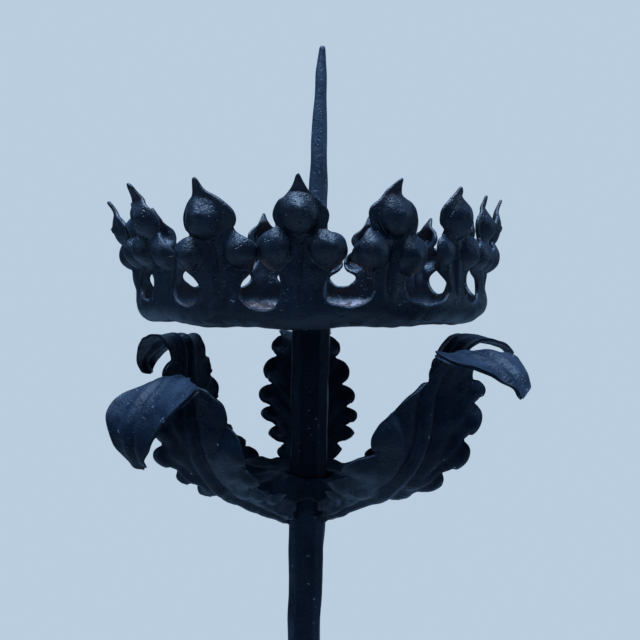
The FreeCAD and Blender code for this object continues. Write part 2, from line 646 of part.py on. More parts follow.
def leaf_rows():
    """Places of the grid's rows along the leaf, as shares of its length, with their lobe share."""
    lobe_rows = int(size("leaf_lobes")) * ROWS_PER_LOBE
    rows = [(LOBES_END_SHARE * row / lobe_rows, row % ROWS_PER_LOBE / ROWS_PER_LOBE)
            for row in range(lobe_rows)]
    for row in range(TIP_ROWS + 1):
        rows.append((LOBES_END_SHARE + (1 - LOBES_END_SHARE) * row / TIP_ROWS, 0))
    return rows


def leaf_grid(number):
    """Middle surface of a leaf as rows of points, root first. The leaf points along +X."""
    midrib = Part.BSplineCurve()
    midrib.interpolate([
        FreeCAD.Vector(across * size("leaf_reach"), 0, up * size("leaf_rise"))
        for across, up in LEAF_MIDRIB_SHARES[number]])
    length = midrib.length()
    root = FreeCAD.Vector(value_of(LEAF_ROOT_RADIUS), 0, value_of(LEAF_ROOT_HEIGHT))
    grid = []
    for place, lobe in leaf_rows():
        parameter = midrib.parameterAtDistance(place * length, midrib.FirstParameter)
        along = FreeCAD.Vector(*midrib.tangent(parameter)[0])
        outwards = FreeCAD.Vector(along.z, 0, -along.x)
        drift = size("leaf_half_width") * smooth_share(LEAF_DRIFT_SHARES[number], place)
        centre = root + midrib.value(parameter) + FreeCAD.Vector(0, drift, 0)
        twist = smooth_share(LEAF_TWIST_SHARES[number], place) * math.pi / 2
        across = FreeCAD.Vector(0, 1, 0) * math.cos(twist) + outwards * math.sin(twist)
        outwards = outwards * math.cos(twist) - FreeCAD.Vector(0, 1, 0) * math.sin(twist)
        swell = math.sin(math.pi * lobe)
        notch = 0
        if place < LOBES_END_SHARE:
            notch = size("notch_depth") * smooth_share(NOTCH_SHARES, place) * (1 - swell)
        bend = (math.radians(size("leaf_fold")) / FOLD_GAUGE
                * smooth_share(LEAF_FOLD_SHARES[number], place))
        row = []
        for column in range(-HALF_COLUMNS, HALF_COLUMNS + 1):
            share = column / HALF_COLUMNS
            course = LEAF_WIDTH_SHARES[number][1 if column > 0 else 0]
            half = size("leaf_half_width") * smooth_share(course, place) - notch
            dome = size("lobe_dome") * swell * math.sin(math.pi * abs(share)) ** 2
            angle = bend * share * half
            sideways = math.sin(angle) * (1 / bend + dome)
            inwards = (1 - math.cos(angle)) / bend - dome * math.cos(angle)
            row.append(centre + across * sideways - outwards * inwards)
        grid.append(row)
    return grid


def surface_through(grid):
    surface = Part.BSplineSurface()
    surface.interpolate(grid)
    return surface.toShape()


def leaf_shape(number):
    """Closed solid between the leaf's outer and inner faces."""
    middle = leaf_grid(number)
    rows = len(middle)
    columns = len(middle[0])
    half = size("leaf_thickness") / 2
    outer, inner = [], []
    for row in range(rows):
        outer_row, inner_row = [], []
        for column in range(columns):
            along = middle[min(row + 1, rows - 1)][column] - middle[max(row - 1, 0)][column]
            across = middle[row][min(column + 1, columns - 1)] - middle[row][max(column - 1, 0)]
            normal = along.cross(across).normalize()
            outer_row.append(middle[row][column] - normal * half)
            inner_row.append(middle[row][column] + normal * half)
        outer.append(outer_row)
        inner.append(inner_row)
    faces = [surface_through(outer), surface_through(inner)]
    for first, second in matching_borders(faces[0], faces[1]):
        faces.append(Part.makeRuledSurface(first, second, SAME_WAY))
    shell = Part.makeShell(faces)
    shell.sewShape()
    solid = Part.makeSolid(Part.Shell(shell.Faces))
    if solid.Volume < 0:
        solid.reverse()
    return solid


def matching_borders(first, second):
    """Pairs of border edges of two faces that lie one sheet thickness apart."""
    pairs = []
    for edge in first.Edges:
        middle = edge.valueAt((edge.FirstParameter + edge.LastParameter) / 2)
        partner = min(second.Edges, key=lambda other: middle.distanceToPoint(
            other.valueAt((other.FirstParameter + other.LastParameter) / 2)))
        pairs.append((plain_edge(edge), plain_edge(partner)))
    return pairs


def plain_edge(edge):
    """The same edge, running the way its curve does."""
    return edge.Curve.toShape(edge.FirstParameter, edge.LastParameter)


def make_leaves():
    """Leaves round the bar, each bent by hand. The first points to the rear."""
    leaves = []
    count = int(size("leaf_count"))
    for number in range(count):
        leaf = doc.addObject("Part::Feature", "leaf_%d" % (number + 1))
        leaf.Shape = leaf_shape(number % len(LEAF_MIDRIB_SHARES))
        leaf.Label = "leaf_%d" % (number + 1)
        turn = 90 + 360 / count * (number + LEAF_TURN_SHARES[number % len(LEAF_TURN_SHARES)])
        leaf.Placement = FreeCAD.Placement(FreeCAD.Vector(), FreeCAD.Rotation(FreeCAD.Vector(0, 0, 1), turn))
        leaves.append(leaf)
    return leaves


# Legs, collars and rivets

def leg_spine(body):
    """Middle line of a leg: straight down the bar, out round the hip, down round the knee."""
    sketch = new_sketch(body, "leg_spine", "XZ_Plane")
    offset = value_of(LEG_OFFSET)
    top = FreeCAD.Vector(offset, size("leg_top_height"), 0)
    bend = FreeCAD.Vector(offset, size("leg_bend_height"), 0)
    hip = size("leg_hip_radius")
    knee = size("leg_knee_radius")
    foot = FreeCAD.Vector(size("leg_spread"), size("foot_thickness") / 2, 0)
    hip_middle = bend + FreeCAD.Vector(hip, 0, 0)
    reach = foot - hip_middle
    # The knee's middle lies a hip and a knee radius from the hip's middle, a knee radius from the foot
    distance = reach.Length
    along = ((hip + knee) ** 2 - knee ** 2 + distance ** 2) / (2 * distance)
    aside = math.sqrt((hip + knee) ** 2 - along ** 2)
    direction = reach / distance
    knee_middle = hip_middle + direction * along + FreeCAD.Vector(direction.y, -direction.x, 0) * aside
    turn = hip_middle + (knee_middle - hip_middle) * hip / (hip + knee)

    def angle(middle, point):
        return math.atan2(point.y - middle.y, point.x - middle.x)

    upright = FreeCAD.Vector(0, 0, 1)
    line = sketch.addGeometry(Part.LineSegment(top, bend), False)
    first = sketch.addGeometry(Part.ArcOfCircle(
        Part.Circle(hip_middle, upright, hip), math.pi, angle(hip_middle, turn) + 2 * math.pi), False)
    second = sketch.addGeometry(Part.ArcOfCircle(
        Part.Circle(knee_middle, upright, knee), angle(knee_middle, foot), angle(knee_middle, turn)), False)
    tie_point(sketch, line, 1, LEG_OFFSET, "Sizes.leg_top_height")
    tie_point(sketch, line, 2, LEG_OFFSET, "Sizes.leg_bend_height")
    sketch.addConstraint(Sketcher.Constraint("Tangent", line, 2, first, 1))
    sketch.addConstraint(Sketcher.Constraint("Tangent", first, 2, second, 2))
    for arc, name in ((first, "leg_hip_radius"), (second, "leg_knee_radius")):
        number = sketch.addConstraint(Sketcher.Constraint("Radius", arc, size(name)))
        sketch.setExpression("Constraints[%d]" % number, "Sizes." + name)
    tie_point(sketch, second, 1, "Sizes.leg_spread", "Sizes.foot_thickness / 2")
    return sketch


def make_leg(number, rivet_height):
    """Bent flat bar, drawn down to a round foot. It is modelled along +X and turned to its face."""
    body = new_body("leg_%d" % (number + 1))
    spine = leg_spine(body)
    section = new_sketch(body, "leg_section", "XY_Plane", "Sizes.leg_top_height")
    near = "(%s - Sizes.leg_thickness / 2)" % LEG_OFFSET
    far = "(%s + Sizes.leg_thickness / 2)" % LEG_OFFSET
    side = "Sizes.leg_width / 2"
    outline(section, [(near, "-" + side), (far, "-" + side), (far, side), (near, side)])
    pipe = body.newObject("PartDesign::AdditivePipe", "leg_bar")
    pipe.Profile = section
    pipe.Spine = spine
    pipe.Mode = "Standard"
    foot = cylinder(body, "penny_foot", "Sizes.foot_radius", "Sizes.foot_thickness",
                    Base_x="Sizes.leg_spread")
    top = size("foot_thickness")
    chamfer_edges(body, foot, "foot_edge", lambda edge: at_height(edge, top), "Sizes.foot_chamfer")
    hole = cylinder(body, "leg_rivet_hole", RIVET_HOLE, "2 * (Sizes.leg_thickness + Sizes.lower_width)",
                    cut=True, Base_z=rivet_height)
    hole.Placement.Rotation = turn_z_to_x()
    body.Placement.Rotation = FreeCAD.Rotation(FreeCAD.Vector(0, 0, 1), 360 * number / size("leg_count"))
    return body


def make_collar(label, height):
    """Band bent round the bar and the legs."""
    body = new_body(label)
    section = new_sketch(body, label + "_section", "XY_Plane", height)
    inside = "(Sizes.lower_width + 2 * Sizes.leg_thickness + 2 * Sizes.fit_gap)"
    outside = "(%s + 2 * Sizes.collar_wall)" % inside
    outer_chamfer = "(Sizes.collar_chamfer + Sizes.collar_wall * (2 - sqrt(2)))"
    outline(section, chamfered_square(outside, outer_chamfer))
    outline(section, chamfered_square(inside, "Sizes.collar_chamfer"))
    pad(body, section, label + "_band", "Sizes.collar_width", both_ways=True)
    return body


def make_rivet(name, height, rotation):
    """Rivet through two legs and the bar, with a domed head at each end."""
    span = "(Sizes.lower_width + 2 * Sizes.leg_thickness)"
    dome = "((Sizes.rivet_head_radius ^ 2 + Sizes.rivet_head_rise ^ 2) / (2 * Sizes.rivet_head_rise))"
    body = new_body(name)
    section = new_sketch(body, name + "_section", "XZ_Plane")
    half = span + " / 2"
    arch = "(%s * (1 - cos(asin(Sizes.rivet_head_radius / %s) / 2)))" % (dome, dome)
    arch_out = "(%s * sin(asin(Sizes.rivet_head_radius / %s) / 2))" % (dome, dome)
    outline(section, [
        ("0", "-%s - Sizes.rivet_head_rise" % half),
        ("Sizes.rivet_head_radius", "-" + half, arch_out, "-%s - Sizes.rivet_head_rise + %s" % (half, arch)),
        ("Sizes.rivet_radius", "-" + half),
        ("Sizes.rivet_radius", half),
        ("Sizes.rivet_head_radius", half),
        ("0", "%s + Sizes.rivet_head_rise" % half, arch_out, "%s + Sizes.rivet_head_rise - %s" % (half, arch)),
    ])
    revolve(body, section, name + "_turned")
    body.Placement.Rotation = rotation
    body.setExpression("Placement.Base.z", height)
    return body


def make_rivets():
    side = make_rivet("side_rivet", "Sizes.side_rivet_height", turn_z_to_x())
    front = make_rivet("front_rivet", "Sizes.front_rivet_height", turn_x_to_y())
    group = doc.addObject("Part::Compound", "leg_rivets")
    group.Links = [side, front]
    group.Label = "leg_rivets"
    return group


def make_all():
    pieces = [make_spike(), make_washer(), make_pan(), make_upper_shaft(), make_hub()]
    pieces += make_leaves()
    pieces.append(make_lower_shaft())
    rivet_heights = ["Sizes.side_rivet_height", "Sizes.front_rivet_height"]
    for number in range(int(size("leg_count"))):
        pieces.append(make_leg(number, rivet_heights[number % 2]))
    pieces.append(make_collar("leg_collar_upper", "Sizes.upper_collar_height"))
    pieces.append(make_collar("leg_collar_lower", "Sizes.lower_collar_height"))
    pieces.append(make_rivets())
    return pieces


def check_and_write(pieces):
    doc.recompute()
    for item in doc.Objects:
        if "Invalid" in item.State or "Error" in item.State:
            raise RuntimeError("%s failed: %s" % (item.Name, item.State))
    for piece in pieces:
        if piece.Shape.isNull() or not piece.Shape.isValid():
            raise RuntimeError("%s has no valid shape" % piece.Label)
    os.makedirs("parts", exist_ok=True)
    for piece in pieces:
        piece.Shape.exportStep(os.path.join("parts", piece.Label + ".step"))
        print("%-18s %2d solid(s) %10.1f mm3" % (piece.Label, len(piece.Shape.Solids), piece.Shape.Volume))


check_and_write(make_all())
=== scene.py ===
import math

import bpy
import numpy as np
from mathutils import Matrix, Vector
from mathutils.geometry import delaunay_2d_cdt


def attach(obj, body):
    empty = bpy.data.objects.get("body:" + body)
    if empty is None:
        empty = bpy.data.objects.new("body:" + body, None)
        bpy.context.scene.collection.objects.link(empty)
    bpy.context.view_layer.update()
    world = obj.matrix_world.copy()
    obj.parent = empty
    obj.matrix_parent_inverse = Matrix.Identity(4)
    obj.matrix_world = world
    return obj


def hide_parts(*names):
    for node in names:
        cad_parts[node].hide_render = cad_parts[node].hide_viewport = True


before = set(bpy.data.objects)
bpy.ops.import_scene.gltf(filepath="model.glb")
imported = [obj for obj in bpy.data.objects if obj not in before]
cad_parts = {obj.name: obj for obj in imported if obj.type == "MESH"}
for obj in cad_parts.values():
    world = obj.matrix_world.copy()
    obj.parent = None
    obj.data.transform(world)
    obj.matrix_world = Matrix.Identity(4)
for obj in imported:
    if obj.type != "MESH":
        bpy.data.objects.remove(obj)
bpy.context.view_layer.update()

# Lengths are millimetres until a mesh is made. Materials, lights and the stage are in metres.
MM = 0.001
# Height of the pan's underside
PAN = 1000.0


# Camera and stage

CAMERA_AZIMUTH = 2.013
CAMERA_PITCH = 3.706
CAMERA_ROLL = 1.398
CAMERA_DISTANCE = 301.36
CAMERA_HEIGHT = PAN + 18.34
FOCAL_PIXELS = 686.65
PICTURE_PIXELS = 640
AXIS_PIXEL = 311.74
SENSOR = 36.0
CLIP = (.01, 60)


def make_camera():
    data = bpy.data.cameras.new("camera")
    data.sensor_width = SENSOR
    data.lens = FOCAL_PIXELS / PICTURE_PIXELS * SENSOR
    data.shift_x = (PICTURE_PIXELS / 2 - AXIS_PIXEL) / PICTURE_PIXELS
    data.clip_start, data.clip_end = CLIP
    camera = bpy.data.objects.new("camera", data)
    bpy.context.scene.collection.objects.link(camera)
    turn, pitch, roll = (math.radians(a) for a in (CAMERA_AZIMUTH, CAMERA_PITCH, CAMERA_ROLL))
    level = Vector((-math.sin(turn), math.cos(turn), 0))
    side = Vector((math.cos(turn), math.sin(turn), 0))
    upright = Vector((0, 0, 1))
    forward = level * math.cos(pitch) - upright * math.sin(pitch)
    up = upright * math.cos(pitch) + level * math.sin(pitch)
    right = side * math.cos(roll) + up * math.sin(roll)
    up = up * math.cos(roll) - side * math.sin(roll)
    place = -level * CAMERA_DISTANCE * MM + upright * CAMERA_HEIGHT * MM
    camera.matrix_world = Matrix((
        (right.x, up.x, -forward.x, place.x),
        (right.y, up.y, -forward.y, place.y),
        (right.z, up.z, -forward.z, place.z),
        (0, 0, 0, 1)))
    bpy.context.scene.camera = camera


# Small numeric tools

def course(pairs, x):
    """Smooth value at x of a course of (place, value) pairs."""
    xs = np.array([p[0] for p in pairs], float)
    ys = np.array([p[1] for p in pairs], float)
    slopes = np.gradient(ys, xs)
    i = np.clip(np.searchsorted(xs, x) - 1, 0, len(xs) - 2)
    span = xs[i + 1] - xs[i]
    t = np.clip((x - xs[i]) / span, 0, 1)
    return ((1 + 2 * t) * (1 - t) ** 2 * ys[i] + t * (1 - t) ** 2 * span * slopes[i]
            + t * t * (3 - 2 * t) * ys[i + 1] + t * t * (t - 1) * span * slopes[i + 1])


def steps(pairs, x):
    """Value at x of a course of (place, value) pairs joined by straight lines."""
    return np.interp(x, [p[0] for p in pairs], [p[1] for p in pairs])


def ramp(x, low, high):
    """Soft step from 0 at low to 1 at high."""
    t = np.clip((x - low) / (high - low), 0, 1)
    return t * t * (3 - 2 * t)


WAVE_COUNT = 24
WAVE_SPREAD = (.7, 1.6)


class Waves:
    """Smooth seeded noise: a sum of plane waves of about one wavelength."""

    def __init__(self, seed, wavelength):
        draw = np.random.default_rng(seed)
        way = draw.normal(size=(WAVE_COUNT, 3))
        way /= np.linalg.norm(way, axis=1)[:, None]
        self.way = way * 2 * np.pi / (wavelength * draw.uniform(*WAVE_SPREAD, (WAVE_COUNT, 1)))
        self.phase = draw.uniform(0, 2 * np.pi, WAVE_COUNT)
        self.scale = math.sqrt(2 / WAVE_COUNT)

    def __call__(self, points):
        return self.scale * np.sin(points @ self.way.T + self.phase).sum(axis=1)


# Meshes

CURVE_DETAIL = 40
# Share of the spacing kept clear along an outline
BORDER_GAP = .62
RIM_ROWS = 4
# How far a rim bulges, as a share of half the sheet
RIM_BULGE = .8


def add_piece(name, points, faces, material, node, smooth_angle=None):
    """Mesh on the one body, in the place of a CAD node. Edges over smooth_angle stay sharp."""
    mesh = bpy.data.meshes.new(name)
    mesh.from_pydata((np.asarray(points) * MM).tolist(), [], faces)
    mesh.validate()
    mesh.update()
    mesh.shade_smooth()
    if smooth_angle is not None:
        mesh.set_sharp_from_angle(angle=math.radians(smooth_angle))
    mesh.materials.append(material)
    piece = bpy.data.objects.new(name, mesh)
    bpy.context.scene.collection.objects.link(piece)
    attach(piece, "root")
    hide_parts(node)


def resample(points, spacing):
    """Points at an even distance along a polyline, both ends kept."""
    points = np.asarray(points, float)
    along = np.concatenate([[0], np.cumsum(np.linalg.norm(np.diff(points, axis=0), axis=1))])
    count = max(2, int(round(along[-1] / spacing)) + 1)
    places = np.linspace(0, along[-1], count)
    return np.stack([np.interp(places, along, points[:, k]) for k in range(points.shape[1])], axis=1)


def smooth_through(points, spacing):
    """Smooth curve through points, as an evenly spaced polyline."""
    points = np.asarray(points, float)
    if len(points) < 3:
        return resample(points, spacing)
    chords = np.linalg.norm(np.diff(points, axis=0), axis=1) ** .5
    knots = np.concatenate([[0], np.cumsum(chords)])
    fine = np.linspace(0, knots[-1], CURVE_DETAIL * len(points))
    curve = np.stack([course(list(zip(knots, points[:, k])), fine) for k in range(2)], axis=1)
    return resample(curve, spacing)


def inside(points, loop):
    """Which points lie inside a closed outline."""
    x, y = points[:, 0][:, None], points[:, 1][:, None]
    x0, y0 = loop[:, 0], loop[:, 1]
    x1, y1 = np.roll(x0, -1), np.roll(y0, -1)
    crosses = (y0 > y) != (y1 > y)
    with np.errstate(divide="ignore", invalid="ignore"):
        at = (x1 - x0) * (y - y0) / (y1 - y0) + x0
    return (crosses & (x < at)).sum(axis=1) % 2 == 1


def fill(loop, spacing, hole=None):
    """Triangles of even size inside an outline. The outline's points come first, then the hole's."""
    loops = [np.asarray(loop, float)] + ([np.asarray(hole, float)] if hole is not None else [])
    low, high = loops[0].min(axis=0), loops[0].max(axis=0)
    row = spacing * math.sqrt(3) / 2
    ys = np.arange(low[1] + row / 2, high[1], row)
    xs = np.arange(low[0], high[0], spacing)
    grid = np.array([(x + spacing / 2 * (k % 2), y) for k, y in enumerate(ys) for x in xs])
    keep = inside(grid, loops[0])
    if hole is not None:
        keep &= ~inside(grid, loops[1])
    grid = grid[keep]
    border = np.concatenate(loops)
    near = np.array([np.min(np.hypot(*(border - p).T)) for p in grid])
    points = np.concatenate([border, grid[near > spacing * BORDER_GAP]])
    edges, start = [], 0
    for one in loops:
        n = len(one)
        edges += [(start + k, start + (k + 1) % n) for k in range(n)]
        start += n
    out, _, faces, source, _, _ = delaunay_2d_cdt([Vector(p) for p in points], edges, [], 1, 1e-7)
    back = [min(s) for s in source]
    triangles = np.array([[back[v] for v in f] for f in faces])
    corners = points[triangles]
    area = np.cross(corners[:, 1] - corners[:, 0], corners[:, 2] - corners[:, 0])
    triangles[area < 0] = triangles[area < 0][:, ::-1]
    if hole is not None:
        triangles = triangles[~inside(corners.mean(axis=1), loops[1])]
    return points, triangles


def vertex_normals(points, triangles):
    """Unit normals of a mesh's points, weighted by area."""
    a, b, c = (points[triangles[:, k]] for k in range(3))
    face = np.cross(b - a, c - a)
    out = np.zeros_like(points)
    for k in range(3):
        np.add.at(out, triangles[:, k], face)
    return out / np.maximum(np.linalg.norm(out, axis=1), 1e-12)[:, None]


def thicken(points, triangles, loops, half):
    """Closed shell round a middle surface, with a rounded rim along each border loop.
    A loop runs with the surface on its left, seen from the outer side."""
    half = np.broadcast_to(np.asarray(half, float), (len(points),))
    normals = vertex_normals(points, triangles)
    count = len(points)
    verts = [points + normals * half[:, None], points - normals * half[:, None]]
    faces = triangles.tolist() + (triangles[:, ::-1] + count).tolist()
    start = 2 * count
    for loop in loops:
        loop = np.asarray(loop)
        n = len(loop)
        along = points[np.roll(loop, -1)] - points[np.roll(loop, 1)]
        out = np.cross(along, normals[loop])
        out /= np.maximum(np.linalg.norm(out, axis=1), 1e-12)[:, None]
        rings = [loop]
        for row in range(1, RIM_ROWS):
            turn = math.pi * row / RIM_ROWS
            ring = points[loop] + half[loop][:, None] * (
                out * math.sin(turn) * RIM_BULGE + normals[loop] * math.cos(turn))
            verts.append(ring)
            rings.append(start + np.arange(n))
            start += n
        rings.append(loop + count)
        for upper, lower in zip(rings, rings[1:]):
            ahead, ahead_low = np.roll(upper, -1), np.roll(lower, -1)
            faces += np.stack([upper, lower, ahead_low, ahead], axis=1).tolist()
    return np.concatenate(verts), faces


# Painted iron

# Dusty tone of what faces up, lightened with painted sky light
DUST_AND_SKY_LIGHT = (.034, .054, .084)
WORN_EDGE = (.050, .062, .076)
CHIPPED = (.50, .56, .62)
WARM_TIP = (.030, .020, .017)
RUST_DARK = (.085, .038, .030)
RUST_GREY = (.020, .016, .019)
WAX = (.42, .33, .34)
# Heights over which the crown's tips turn warm, and over which rust leaves the pan's floor
TIPS_FROM, TIPS_TO = 1.038, 1.049
RUST_TOP, RUST_FOOT = 1.009, 1.0035
RUST_ROUGHNESS = .75
# Bumps, coarse to fine: strength, depth
HAMMER_BUMP, BRUSH_BUMP, GRAIN_BUMP, PIT_BUMP = (.55, .0006), (.50, .0005), (.60, .0004), (.60, .0004)


def node_tools(owner):
    """Empties the nodes of a material or world and returns a function that adds nodes to it."""
    owner.use_nodes = True
    tree = owner.node_tree
    tree.nodes.clear()

    def add(kind, inputs=None, **settings):
        node = tree.nodes.new(kind)
        for key, value in settings.items():
            setattr(node, key, value)
        for key, value in (inputs or {}).items():
            socket = node.inputs[key]
            if isinstance(value, bpy.types.NodeSocket):
                tree.links.new(value, socket)
            else:
                socket.default_value = value
        return node

    return add


def painted_iron(name, dark, light, rough, shine=.5, wear=.5, chips=.5, streaks=.4, dirt=None, rust=0.0,
                 tips=0.0):
    """Satin blue-black paint on hammered iron, worn along its edges; what faces up is dusty and has painted
    sky light, what faces down painted shade.
    """
    material = bpy.data.materials.new(name)
    add = node_tools(material)
    place = add("ShaderNodeTexCoord").outputs["Object"]
    surface = add("ShaderNodeNewGeometry")

    def noise(scale, detail=4.0, roughness=.55, vector=place):
        return add("ShaderNodeTexNoise", {"Vector": vector, "Scale": scale, "Detail": detail,
                                          "Roughness": roughness}).outputs["Fac"]

    def between(value, low, high, to_low=0.0, to_high=1.0):
        return add("ShaderNodeMapRange", {"Value": value, "From Min": low, "From Max": high,
                                          "To Min": to_low, "To Max": to_high},
                   interpolation_type="SMOOTHSTEP").outputs["Result"]

    def times(a, b):
        return add("ShaderNodeMath", {0: a, 1: b}, operation="MULTIPLY").outputs[0]

    def mix(factor, a, b):
        """Colour a where factor is 0, b where it is 1."""
        first, second = (c if isinstance(c, bpy.types.NodeSocket) else (*c, 1) for c in (a, b))
        return add("ShaderNodeMix", {"Factor": factor, 6: first, 7: second}, data_type="RGBA").outputs[2]

    colour = mix(between(noise(55, 5), .35, .68), dark, light)
    stretched = add("ShaderNodeMapping", {"Vector": place, "Scale": (1, 1, .12)}).outputs["Vector"]
    streak = between(noise(260, 3, .6, stretched), .52, .72, 0, streaks)
    colour = mix(streak, colour, [c * 1.9 + .003 for c in light])
    speckle = between(noise(900, 2, .5), .55, .75, 0, .35)
    colour = mix(speckle, colour, [c * .35 for c in dark])
    worn = times(between(noise(700, 4, .7), .54, .72), between(noise(85, 3), .40, .62, .1, .8))
    colour = mix(times(worn, wear), colour, [c * 2.6 + .004 for c in light])
    if dirt:
        colour = mix(between(noise(24, 6, .7), .55, .75, 0, .5), colour, dirt)
    facing = add("ShaderNodeSeparateXYZ", {"Vector": surface.outputs["Normal"]}).outputs["Z"]
    # Lighter on what faces up: partly dusty, partly painted sky light
    dust_and_sky_light = times(between(facing, 0, .7), between(noise(110, 5, .7), .35, .65, .25, .75))
    colour = mix(dust_and_sky_light, colour, DUST_AND_SKY_LIGHT)
    # Painted shade: what faces down is darkened towards a third of the dark tone
    colour = mix(between(facing, -.05, -.5, 0, .7), colour, [c * .3 for c in dark])
    edge = between(surface.outputs["Pointiness"], .515, .60)
    edge = times(edge, between(noise(120, 5, .7), .38, .62, .15, 1))
    colour = mix(times(edge, wear), colour, WORN_EDGE)
    chip = times(between(noise(560, 2, .35), .725, .745), between(noise(60, 2), .50, .62))
    colour = mix(times(chip, chips), colour, CHIPPED)
    if tips or rust:
        height = add("ShaderNodeSeparateXYZ", {"Vector": place}).outputs["Z"]
    if tips:
        warm = times(between(height, TIPS_FROM, TIPS_TO), between(noise(140, 3), .35, .6, 0, tips))
        colour = mix(warm, colour, WARM_TIP)
    roughness = between(noise(70, 5, .6), .3, .7, rough - .07, rough + .13)
    if rust:
        floor_part = times(between(facing, .35, .75), between(height, RUST_TOP, RUST_FOOT))
        rusty = mix(between(noise(90, 6, .7), .4, .62), RUST_DARK, RUST_GREY)
        wax = times(between(noise(48, 5, .65), .50, .60), between(noise(420, 3), .40, .55))
        rusty = mix(wax, rusty, WAX)
        colour = mix(times(floor_part, rust), colour, rusty)
        roughness = add("ShaderNodeMix", {"Factor": floor_part, 2: roughness, 3: RUST_ROUGHNESS}).outputs[0]
    before = {}
    for (strength, depth), bumps in (
            (HAMMER_BUMP, noise(130, 2, .45)), (BRUSH_BUMP, noise(430, 3, .55)),
            (GRAIN_BUMP, noise(1300, 3, .6)), (PIT_BUMP, between(noise(520, 2, .4), .62, .72, 0, -1))):
        bump = add("ShaderNodeBump", {"Strength": strength, "Distance": depth, "Height": bumps, **before})
        before = {"Normal": bump.outputs["Normal"]}
    shader = add("ShaderNodeBsdfPrincipled", {"Base Color": colour, "Roughness": roughness,
                                              "Specular IOR Level": shine, **before})
    add("ShaderNodeOutputMaterial", {"Surface": shader.outputs["BSDF"]})
    return material


# Drip pan with its crown of trefoils

TREFOILS = 16
SECTOR = 2 * math.pi / TREFOILS
SHEET = 1.8
WALL_FOOT = 75.0 - SHEET / 2
CORNER = 8.0
CORNER_MIDDLE = 67.0
CORNER_ARC = (CORNER - SHEET / 2) * math.pi / 2
FLOOR_JOIN = 58.0
# Half a sector as it is drawn, a little wider than the wall's foot
HALF = WALL_FOOT * SECTOR / 2 + .9
PAN_HOLE = 3.4
# How far the wall leans to the left at its top
SHEAR = -3.4
# What the rounded rim adds to the sheet's outline
RIM_REACH = .72
CROWN_SPACING, OUTLINE_SPACING, BASE_SPACING, FLOOR_SPACING = .9, .7, 1.0, 2.2
# Height of the wall over the corner, up to the tips
WALL_RISE = 42
CREASE_DEPTH, RIB_RISE, RIB_ASIDE, CUP_DEPTH, NIPPLE_RISE = .7, .5, 3.4, .9, .9
# Bosses of a trefoil: aside, up, radius, rise
BOSSES = ((0, 37.4, 5.9, 4.6), (-8.6, 26.4, 5.2, 4), (8.6, 26.4, 5.2, 4))
OWN_BOSSES = {
    0: ((.6, 37.3, 6, 4.8), (-8.9, 26.6, 5.6, 4.1), (9.2, 26.2, 5.2, 4.1)),
    1: ((2.1, 36.9, 5.7, 4.6), (-6.8, 25.6, 5.3, 4.2), (10, 25, 5.2, 4.1)),
    2: ((-2.2, 37.4, 5.8, 4.6), (-8.6, 27, 4.8, 3.8), (7.6, 26.8, 5, 3.8)),
    4: ((0, 37.4, 5.9, 3), (-8.6, 26.4, 5.2, 3.6), (8.6, 26.4, 5.2, 3.4)),
    13: ((0, 37.4, 5.9, 2.8), (-8.6, 26.4, 5.2, 3.2), (8, 26.4, 5, 3.4)),
    14: ((-.6, 37.4, 5.7, 4.5), (-10.4, 26, 5.2, 4), (6.3, 26.3, 4.9, 3.7)),
    15: ((-2, 37, 5.9, 4.7), (-10.3, 25.5, 4.9, 3.9), (9, 25.8, 5.2, 4.1))}
# Sideways and outwards lean of each trefoil's tip, and how much taller it is, front one first
TIP_ASIDE = (1.3, 2.0, -2.7, -1.9, -.1, -.2, -2.8, .8, -.6, -3.9, -1.0, .7, -2.5, -.9, -.5, -.3)
TIP_OUT = (.1, .5, 0, -4.8, 1.6, -.3, 1.6, 0, .3, -1.2, .3, -.2, -4.7, .2, .4, .2)
TIP_TALL = (.6, -.6, -1.4, -.7, -.1, 1.3, -1.6, 0, -.4, 2.0, .2, -.3, 0, -3.4, -.3, .2)
# Lowest point of the opening to the right of each trefoil
OPENING_FOOT = (7.85, 8.1, 8.7, 9.2, 9.7, 10.2, 11.4, 12.4, 12.6, 12.4, 12.2, 11.2, 9.7, 9.0, 8.1, 6.9)
# Right half of a plain trefoil's outline, from the opening's foot to the tip
PLAIN_FOOT = 8.2
PLAIN_SIDE = (
    (12.6, 8.7), (10.1, 10.2), (8.5, 12.4), (8.1, 15), (8.9, 17.4), (11, 19.4), (13.3, 21.4), (14.7, 23.6),
    (14.9, 25.8), (14.3, 28), (12.7, 30.1), (10.7, 31.5), (9, 32.4), (7.7, 33.5), (8.6, 35.2), (9.2, 37.4),
    (8.8, 39.6), (7.4, 41.5), (5.5, 43.1), (3.7, 44.5), (2.6, 46.2), (1.8, 48.1), (1.1, 49.9), (.5, 50.8))
